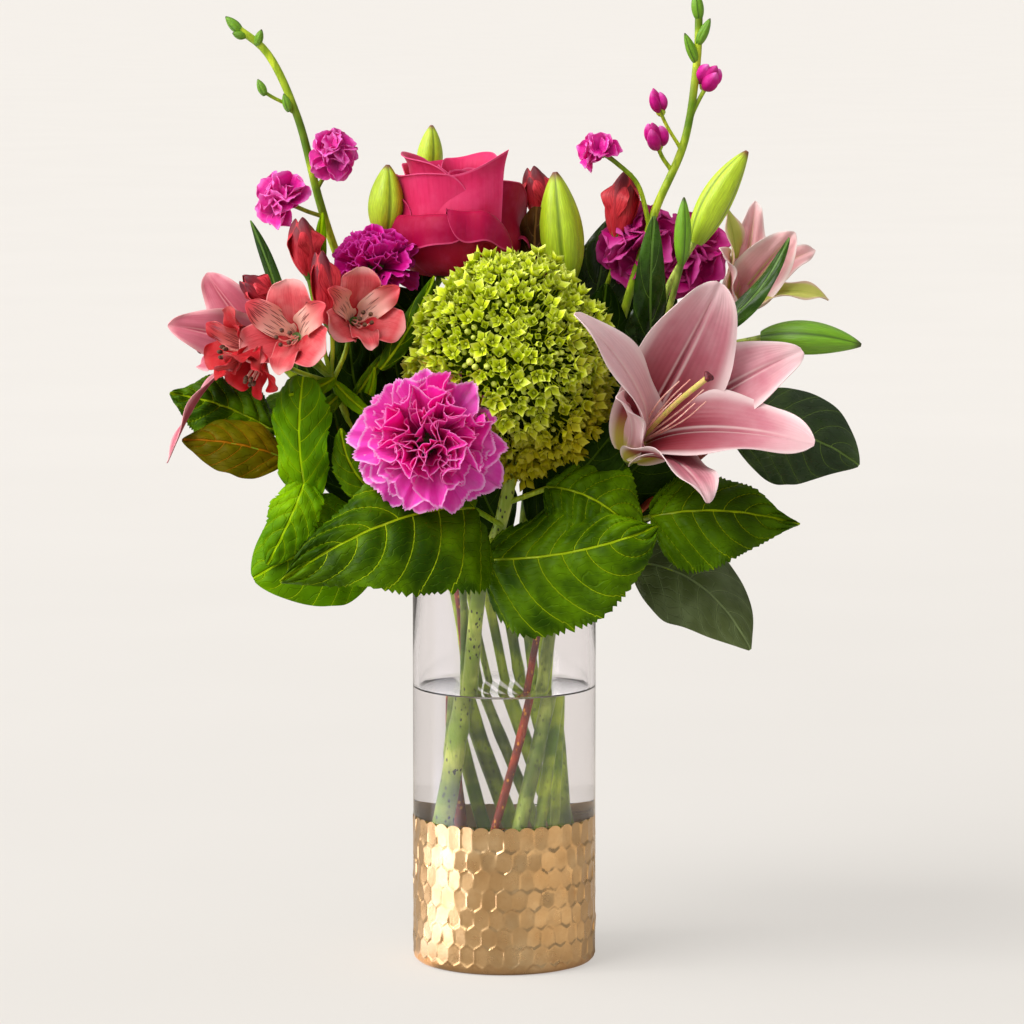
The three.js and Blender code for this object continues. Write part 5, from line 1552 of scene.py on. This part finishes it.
def lumpy_ball(at, across, deep, tall, shrink):
    """A rounded head with soft lumps, closed at its poles."""
    lumps, rings, columns = 40, 60, 96
    centres = units(np.random.default_rng(5).normal(size=(lumps, 3)))
    polar = np.linspace(0, math.pi, rings + 2)[1:-1, None]
    azimuth = np.linspace(0, 2 * math.pi, columns, endpoint=False)[None, :]
    d = np.stack([np.sin(polar) * np.cos(azimuth), np.sin(polar) * np.sin(azimuth),
                  np.cos(polar) * np.ones_like(azimuth)], -1)
    near = np.max(d @ centres.T, axis=-1)
    swell = 0.86 + 0.16 * np.clip((near - 0.86) / 0.14, 0, 1) ** 0.7
    points = (d * np.array([across, deep, tall]) * swell[..., None] - d * shrink)[::-1]
    flat = points.reshape(-1, 3) + np.asarray(at)
    return Shape(flat, stacked_rings(rings, columns), np.zeros((len(flat), 3)))


def hydrangea():
    """Florets of eight kinds sown over a lumpy ball, with a near-black ball under them that paints the shade
    between them.
    """
    florets = bunch_of("hydrangea_florets", [
        floret(0.55, 6.4, 3.8), floret(0.4, 6.6, 3.6, lift=1.5), floret(0.25, 5.8, 3.0, lift=-1),
        floret_bud(1.4, lift=-1), floret(0.7, 5.4, 3.8), floret(0.5, 4.6, 3.2), floret_bud(1.7),
        floret(0.6, 7, 4.4, lift=2)], FLORET, 70)
    ground = make_mesh("hydrangea_ground", lumpy_ball(shrink=3.5, **HYDRANGEA), [], with_tone=False)
    mesh = FLORET_SOWER.run("hydrangea_florets", ground, {
        "Florets": florets, "Finish": FLORET, "Kinds": len(florets.objects), **FLORETS})
    place("hydrangea_florets", mesh, "hydrangea", "hydrangea_head")
    # a near-black ball under the florets: painted shade in the gaps between them
    heart = lumpy_ball(shrink=11, **HYDRANGEA)
    place_shape("hydrangea_heart", heart, [FLORET_SHADE_BALL], "hydrangea", "hydrangea_head")


hydrangea()


# ---------------------------------------------------------------- alstroemeria
ALSTROEMERIAS = {
    "alstroemeria_1": dict(base=(-111, -47, 351), axis=(-0.25, -0.9, 0.3), length=30, spread=26, tone=0.1),
    "alstroemeria_2": dict(base=(-83, -31, 358), axis=(0.3, -0.85, 0.35), length=30, spread=23, tone=0.2),
    "alstroemeria_3": dict(base=(-130, -41, 345), axis=(-0.8, -0.55, 0.15), length=30, spread=19, tone=0.8),
    "alstroemeria_4": dict(base=(-129, -58, 351), axis=(-0.4, -0.55, -0.75), length=28, spread=17, tone=0.9),
    "alstroemeria_5": dict(base=(-122, -34, 368), axis=(-0.75, -0.2, 0.6), length=26, spread=9, tone=0.4),
    "alstroemeria_6": dict(base=(-106, -29, 383), axis=(-0.15, 0, 1), length=33, spread=12, tone=0.3),
    "alstroemeria_7": dict(base=(-93, -46, 355), axis=(-0.15, 0, 1), length=44, spread=9, tone=0.2),
    "alstroemeria_8": dict(base=(62, 12, 401), axis=(0.15, 0, 1), length=38, spread=13, tone=0.6),
    "alstroemeria_9": dict(base=(24, 46, 407), axis=(-0.25, 0, 0.95), length=34, spread=12, tone=0.9),
}


ALSTROEMERIA_SKINS = {
    "outer": CORAL, "inner": CREAM, "anther": ANTHER, "filament": FILAMENT, "cup": CALYX, "closed": CLOSED}


def alstroemeria(base, axis, length, spread, tone):
    """Three broad outer petals, three narrow dashed inner ones, and stamens if it is open."""
    which = numbered(ALSTROEMERIA_SKINS)
    turn = frame_of(axis, (0, 0, 1))
    root, ahead = vec(*base), turn[:, 2]
    is_open = spread > 15
    if is_open:
        form = dict(cup=0.2, wave=2.2, recurve=2.5, belly=0)
    else:
        form = dict(cup=0.9, wave=0.5, recurve=0.0, belly=spread * 0.6)
    shapes = []
    for k in range(6):
        inner = k % 2 == 1
        out = turn @ ring_point(1, 90 + 60 * k, 0)
        reach = spread * (0.94 if inner else 1.0) if is_open else 2.5
        tip = root + ahead * length * (1.0 if inner else 0.92) + out * reach
        width = (0.62 if inner else 0.98) * (spread if is_open else spread * 1.5 + 6)
        dashed = inner and k != 3  # the lowest inner petal has no dashes
        skin = "closed" if not is_open else "inner" if dashed else "outer"
        shapes.append(petal_blade(
            root, axis, tip, width, bulge=3, inset=1.2, narrow=0.95 if inner else 1.2,
            blunt=0.72 if inner else 0.6, groove=0.35, across=16, along=32, thickness=0.55,
            tone=tone + 0.05 * k, seed=k * 1.9 + length, finish=which[skin], **form))
    cup = smooth_path([root - ahead * 1.5, root + ahead * 5], 8)
    shapes.append(tube(cup, np.linspace(1.8, 4.2, 8), 14, finish=which["cup"]))
    for k in range(5 if is_open else 0):
        out = turn @ ring_point(1, 40 + 70 * k, 0)
        droop = turn @ vec(0, -1, 0)
        start = root + ahead * 4 + out * 1.2
        end = root + ahead * (length * 0.86) + out * spread * 0.16 + droop * (2 + spread * 0.12)
        line = smooth_path([start, lerp(start, end, 0.5) + droop * 2, end], 14)
        shapes.append(tube(line, np.linspace(0.5, 0.4, 14), 8, finish=which["filament"]))
        bead = np.array([end + ahead * s for s in np.linspace(-1.2, 1.8, 6)])
        bead_radii = 1.25 * np.sin(np.linspace(0.4, 2.8, 6)) ** 0.5
        shapes.append(tube(bead, bead_radii, 10, finish=which["anther"]))
    return combine(*shapes)


for name, about in ALSTROEMERIAS.items():
    place_shape(name + "_fine", alstroemeria(**about), ALSTROEMERIA_SKINS.values(), "alstroemeria", name)


# ---------------------------------------------------------------- stock
STOCK_FLOWERS = {
    "stock_flower_left_upper": dict(at=(-91, -3, 452), axis=(0.4, -0.8, 0.4), across=15, along=11, flowers=3),
    "stock_flower_left_lower": dict(
        at=(-123, -20, 427), axis=(-0.4, -0.8, 0.4), across=17, along=12, flowers=3),
    "stock_flower_right_side": dict(at=(49, -7, 453), axis=(-0.5, -0.7, 0.4), across=12, along=10, flowers=2),
    "stock_flower_right_mid": dict(at=(83, 0, 459), axis=(-0.2, -0.6, 0.7), across=8, along=9, flowers=1),
    "stock_bud_right": dict(at=(84, 5, 478), axis=(-0.3, -0.3, 0.9), across=6, along=7, flowers=1),
    "stock_flower_right_upper": dict(at=(113, 9, 491), axis=(0.4, -0.6, 0.7), across=9, along=8, flowers=1),
    # tone 0.8 gives these two low clusters on the right the heart's darker colour: painted shade
    "stock_flower_right_low": dict(
        at=(72, 8, 402), axis=(-0.2, -0.9, 0.3), across=25, along=16, flowers=5, tone=0.8),
    "stock_flower_right_lower": dict(
        at=(104, 15, 396), axis=(0.3, -0.8, 0.4), across=25, along=17, flowers=5, tone=0.8),
}


def crumpled_petal(length, width, cupping, crumple, seed):
    """A rounded petal, broadest near its end, cupped and creased; it stands up along +Z."""
    rng = np.random.default_rng(seed)
    phase = rng.uniform(0, 2 * math.pi, 4)

    def surface(u, v):
        inner = 0.04 + 0.94 * v
        half = width / 2 * inner ** 0.7 * (1 - inner) ** 0.3 / 0.543
        y = cupping * length * (v ** 2 * 0.8 - 0.45 * u ** 2 * v)
        y = y + crumple * v * (np.sin(3.4 * u + phase[0]) + 0.5 * np.sin(7 * u + phase[1]) * v)
        y = y + 0.5 * crumple * np.sin(6 * v + phase[2])
        z = length * v * (1 - 0.12 * u ** 2) + 0.4 * crumple * np.sin(5 * u + phase[3]) * v ** 3
        return np.stack([u * half, y, z], -1)

    return blade(surface, 14, 12, 0.3)


STOCK_PETALS = bunch_of("stock_petals", [
    crumpled_petal(10, 12, 0.3 + 0.12 * k, 0.45 + 0.1 * k, 80 + k) for k in range(5)], STOCK)


def stock_places(at, axis, across, flowers, tone, seed):
    """Small double flowers side by side, each a loose rosette of crumpled petals."""
    rng = np.random.default_rng(seed)
    turn = frame_of(axis)
    places = []
    for f in range(flowers):
        around = 2 * math.pi * f / flowers + rng.uniform(-0.4, 0.4) + 0.6
        out = turn @ ring_point(1, math.degrees(around), 0)
        size = across * 0.07
        facing = unit(unit(axis) + out * 0.55)
        own = frame_of(facing)
        root = vec(*at) + out * across * 0.45 - facing * size * 6
        for k in range(9):
            share = (k + 0.5) / 9
            azimuth = k * 2.4 + rng.uniform(-0.4, 0.4)
            tilt = math.radians(6 + 84 * share + rng.uniform(-8, 8))
            lean, local = leaning(azimuth, tilt)
            places.append(dict(
                at=root + own @ (lean * share * 1.5), turn=own @ local, size=size * rng.uniform(0.85, 1.15),
                pick=int(rng.integers(0, 5)), tone=float(tone + rng.uniform(-0.2, 0.2))))
    return places


def half_open(at, axis, across, along):
    """A small flower still folded like a bud: three plump petals side by side and a tip between them."""
    turn = frame_of(axis)
    foot = vec(*at) - turn[:, 2] * along * 0.85
    shapes = []
    for k in range(4):
        out = turn @ ring_point(1, 120 * k + 30, 0) * (across * 0.42 if k < 3 else 0.0)
        top = foot + turn[:, 2] * along * (1.5 + 0.15 * k) + out * 1.1
        shapes.append(pod(foot + out * 0.6, top, across * 0.98, seams=2, steps=18, bend=out * 0.5,
                          tone=0.25 * k))
    return combine(*shapes)


def stock_cluster(name, at, axis, across, along, flowers, seed, tone=0.2):
    """Rosettes of crumpled petals, or one half-open flower, on a ring of green sepals."""
    if flowers > 1:
        places = stock_places(at, axis, across, flowers, tone, seed)
        place(name + "_fine", set_petals(name + "_petals", places, STOCK_PETALS, STOCK), "stock", name)
    else:
        place_shape(name + "_fine", half_open(at, axis, across, along), [STOCK], "stock", name)
    back = vec(*at) - unit(axis) * along * 0.75
    sepals = pod(back - unit(axis) * 4, back + unit(axis) * across * 0.35, 5.5, seams=4, steps=14)
    place_shape(name + "_sepals", sepals, [BUD], "stock", name)


for i, (name, about) in enumerate(STOCK_FLOWERS.items()):
    stock_cluster(name, seed=100 + i, **about)

TIP_BUDS = [  # the width, foot and tip of each green bud at the ends of the two stock stems
    (5, (-118, 5, 472), (-121, 4, 482)), (5, (-131, 1, 481), (-135, 0, 490)),
    (5, (-136, 10, 508), (-133, 6, 517)), (5, (-142, 10, 513), (-149, 6, 515)),
    (6, (-144, 10, 515), (-153, 10, 524)), (6, (106, 10, 498), (99, 7, 515)),
    (6, (106, 10, 508), (113, 7, 523)), (7, (107, 10, 522), (105, 9, 538)),
]
tips = combine(*[pod(low, high, width, seams=4, steps=16) for width, low, high in TIP_BUDS])
place_shape("stock_tip_buds", tips, [BUD_DARK], "stem_pale")


# ---------------------------------------------------------------- floor, light and camera
WINDOW = unit((-0.93, -0.22, 0.3))  # the way to the middle of the bright window
WARM_WHITE = (1.0, 0.985, 0.965)
KEY_LIGHT = {"direction": (0.55, 0.45, -0.72), "strength": 2.0, "spread": 36}
CAMERA = {"at": (0.0043, -2.600, 0.564), "looks_down": 6.86, "lens": 166.25, "sensor": 36.0, "sees_to": 1000}
FLOOR = {
    "half_side": 400.0,
    # its glow is painted shade where it is dimmer, near by and to the right, and painted reflections where
    # metal mirrors it
    "left": 0.52, "right": 0.478, "far": 0.565,  # its own light: near by on either side, and far off
    "left_pool": 3.4, "right_pool": 0.44, "elsewhere": 0.35,  # its light as metal mirrors it
}


def floor_finish():
    """A pale surface that glows with light of its own to keep shadows faint; its glow, dimmer near by and to
    the right, is painted shade, and metal sees painted reflections in it.
    """
    finish = Finish("pale_floor", Roughness=0.9, Specular_IOR_Level=0.0)
    here = finish.here()
    point = finish.parts(here)
    near = finish.between(finish.span(point["X"], -0.5, 0.7), FLOOR["left"], FLOOR["right"])
    level = finish.between(finish.span(point["Y"], -0.3, 3.5), near, FLOOR["far"])
    level = finish.times(level, finish.span(finish.ray("Diffuse"), 0.0, 1.0, 1.0, 0.5))
    # painted reflections: glossy rays alone see the floor glow, with a pool on the left that stands for
    # window light, a weaker one on the right, and a dim copper ring by the foot that paints shade into the
    # gold
    outward = finish.add("ShaderNodeVectorMath", {0: here}, operation="NORMALIZE")
    left_pool = finish.span(finish.dot(outward, (-0.974, -0.225, 0)), 0.88, 0.985)
    right_pool = finish.span(finish.dot(outward, (0.857, -0.515, 0)), 0.72, 0.98)
    pools = finish.plus(
        finish.times(left_pool, FLOOR["left_pool"]), finish.times(right_pool, FLOOR["right_pool"]))
    pools = finish.plus(pools, FLOOR["elsewhere"])
    away = finish.add("ShaderNodeVectorMath", {0: here}, output="Value", operation="LENGTH")
    # painted shade in the gold: the glow it mirrors is dim close to the foot
    pools = finish.times(pools, finish.span(away, 0.05, 0.14, 0.25, 1.0))
    pools = finish.times(pools, finish.span(away, 0.5, 0.8, 1.0, 0.25))
    mirrored = finish.times(finish.ray("Glossy"), finish.minus(1.0, finish.ray("Transmission")))
    tint = finish.mix(left_pool, (1.0, 0.84, 0.64, 1), (0.95, 1.0, 1.25, 1))
    # painted reflection: a copper tint close to the foot
    tint = finish.mix(finish.span(away, 0.08, 0.056), tint, (1.15, 0.8, 0.56, 1))
    mottle = finish.span(finish.noise(3, 2), 0.3, 0.7)
    finish.drive(
        Base_Color=finish.mix(mottle, rgb(139, 137, 134), rgb(141, 139, 136)),
        Emission_Color=finish.mix(mirrored, (1.0, 0.954, 0.9, 1), tint),
        Emission_Strength=finish.between(mirrored, level, pools),
    )
    return finish.material


def make_floor():
    half = FLOOR["half_side"]
    corners = [(-half, -half, 0), (half, -half, 0), (half, half, 0), (-half, half, 0)]
    mesh = bpy.data.meshes.new("floor")
    mesh.from_pydata(corners, [], [(0, 1, 2, 3)])
    mesh.materials.append(floor_finish())
    floor = add_object("floor", mesh)


def make_world():
    """A warm white room with a large soft window to the left and a bright slit of light in it."""
    world = bpy.data.worlds.new("studio")
    bpy.context.scene.world = world
    world.use_nodes = True
    room = Graph(world.node_tree)
    direction = room.add("ShaderNodeTexCoord", output="Generated")
    to_window = room.dot(direction, WINDOW)
    shine = room.span(to_window, 0.55, 0.85, 0.0, 1.5)
    beside = room.absolute(room.dot(direction, unit((WINDOW[1], -WINDOW[0], 0))))
    slit = room.times(room.span(beside, 0.1, 0.06, 0.0, 5.0), room.span(to_window, 0.75, 0.85))
    up = room.dot(direction, (0.0, 0.0, 1.0))
    # low light that is seen through the vase only, so that the water's surface mirrors something bright
    low = room.span(up, 0.1, 0.4, 1.7, 0.4)
    sky = room.between(room.ray("Transmission"), room.span(up, 0.0, 1.0, 0.32, 0.6), low)
    light = room.plus(room.plus(shine, slit), sky)
    background = world.node_tree.nodes["Background"].inputs
    room.put(background["Color"], (*WARM_WHITE, 1))
    room.put(background["Strength"], room.between(room.ray("Camera"), light, 0.9))


def make_key_light():
    """A soft sun from the upper left in front."""
    lamp = bpy.data.lights.new("key", "SUN")
    lamp.energy, lamp.color = KEY_LIGHT["strength"], WARM_WHITE
    lamp.angle = math.radians(KEY_LIGHT["spread"])
    sun = add_object("key", lamp)
    sun.rotation_euler = Vector(KEY_LIGHT["direction"]).to_track_quat("-Z", "Y").to_euler()


def make_camera():
    """The camera stands in front at the height of the highest flowers and looks down a little."""
    lens = bpy.data.cameras.new("camera")
    lens.sensor_width, lens.lens = CAMERA["sensor"], CAMERA["lens"]
    lens.clip_end = CAMERA["sees_to"]
    camera = add_object("camera", lens)
    camera.location = CAMERA["at"]
    camera.rotation_euler = (math.radians(90 - CAMERA["looks_down"]), 0, 0)
    bpy.context.scene.camera = camera


make_camera()
make_floor()
make_world()
make_key_light()
bpy.context.scene.view_settings.view_transform = "Standard"
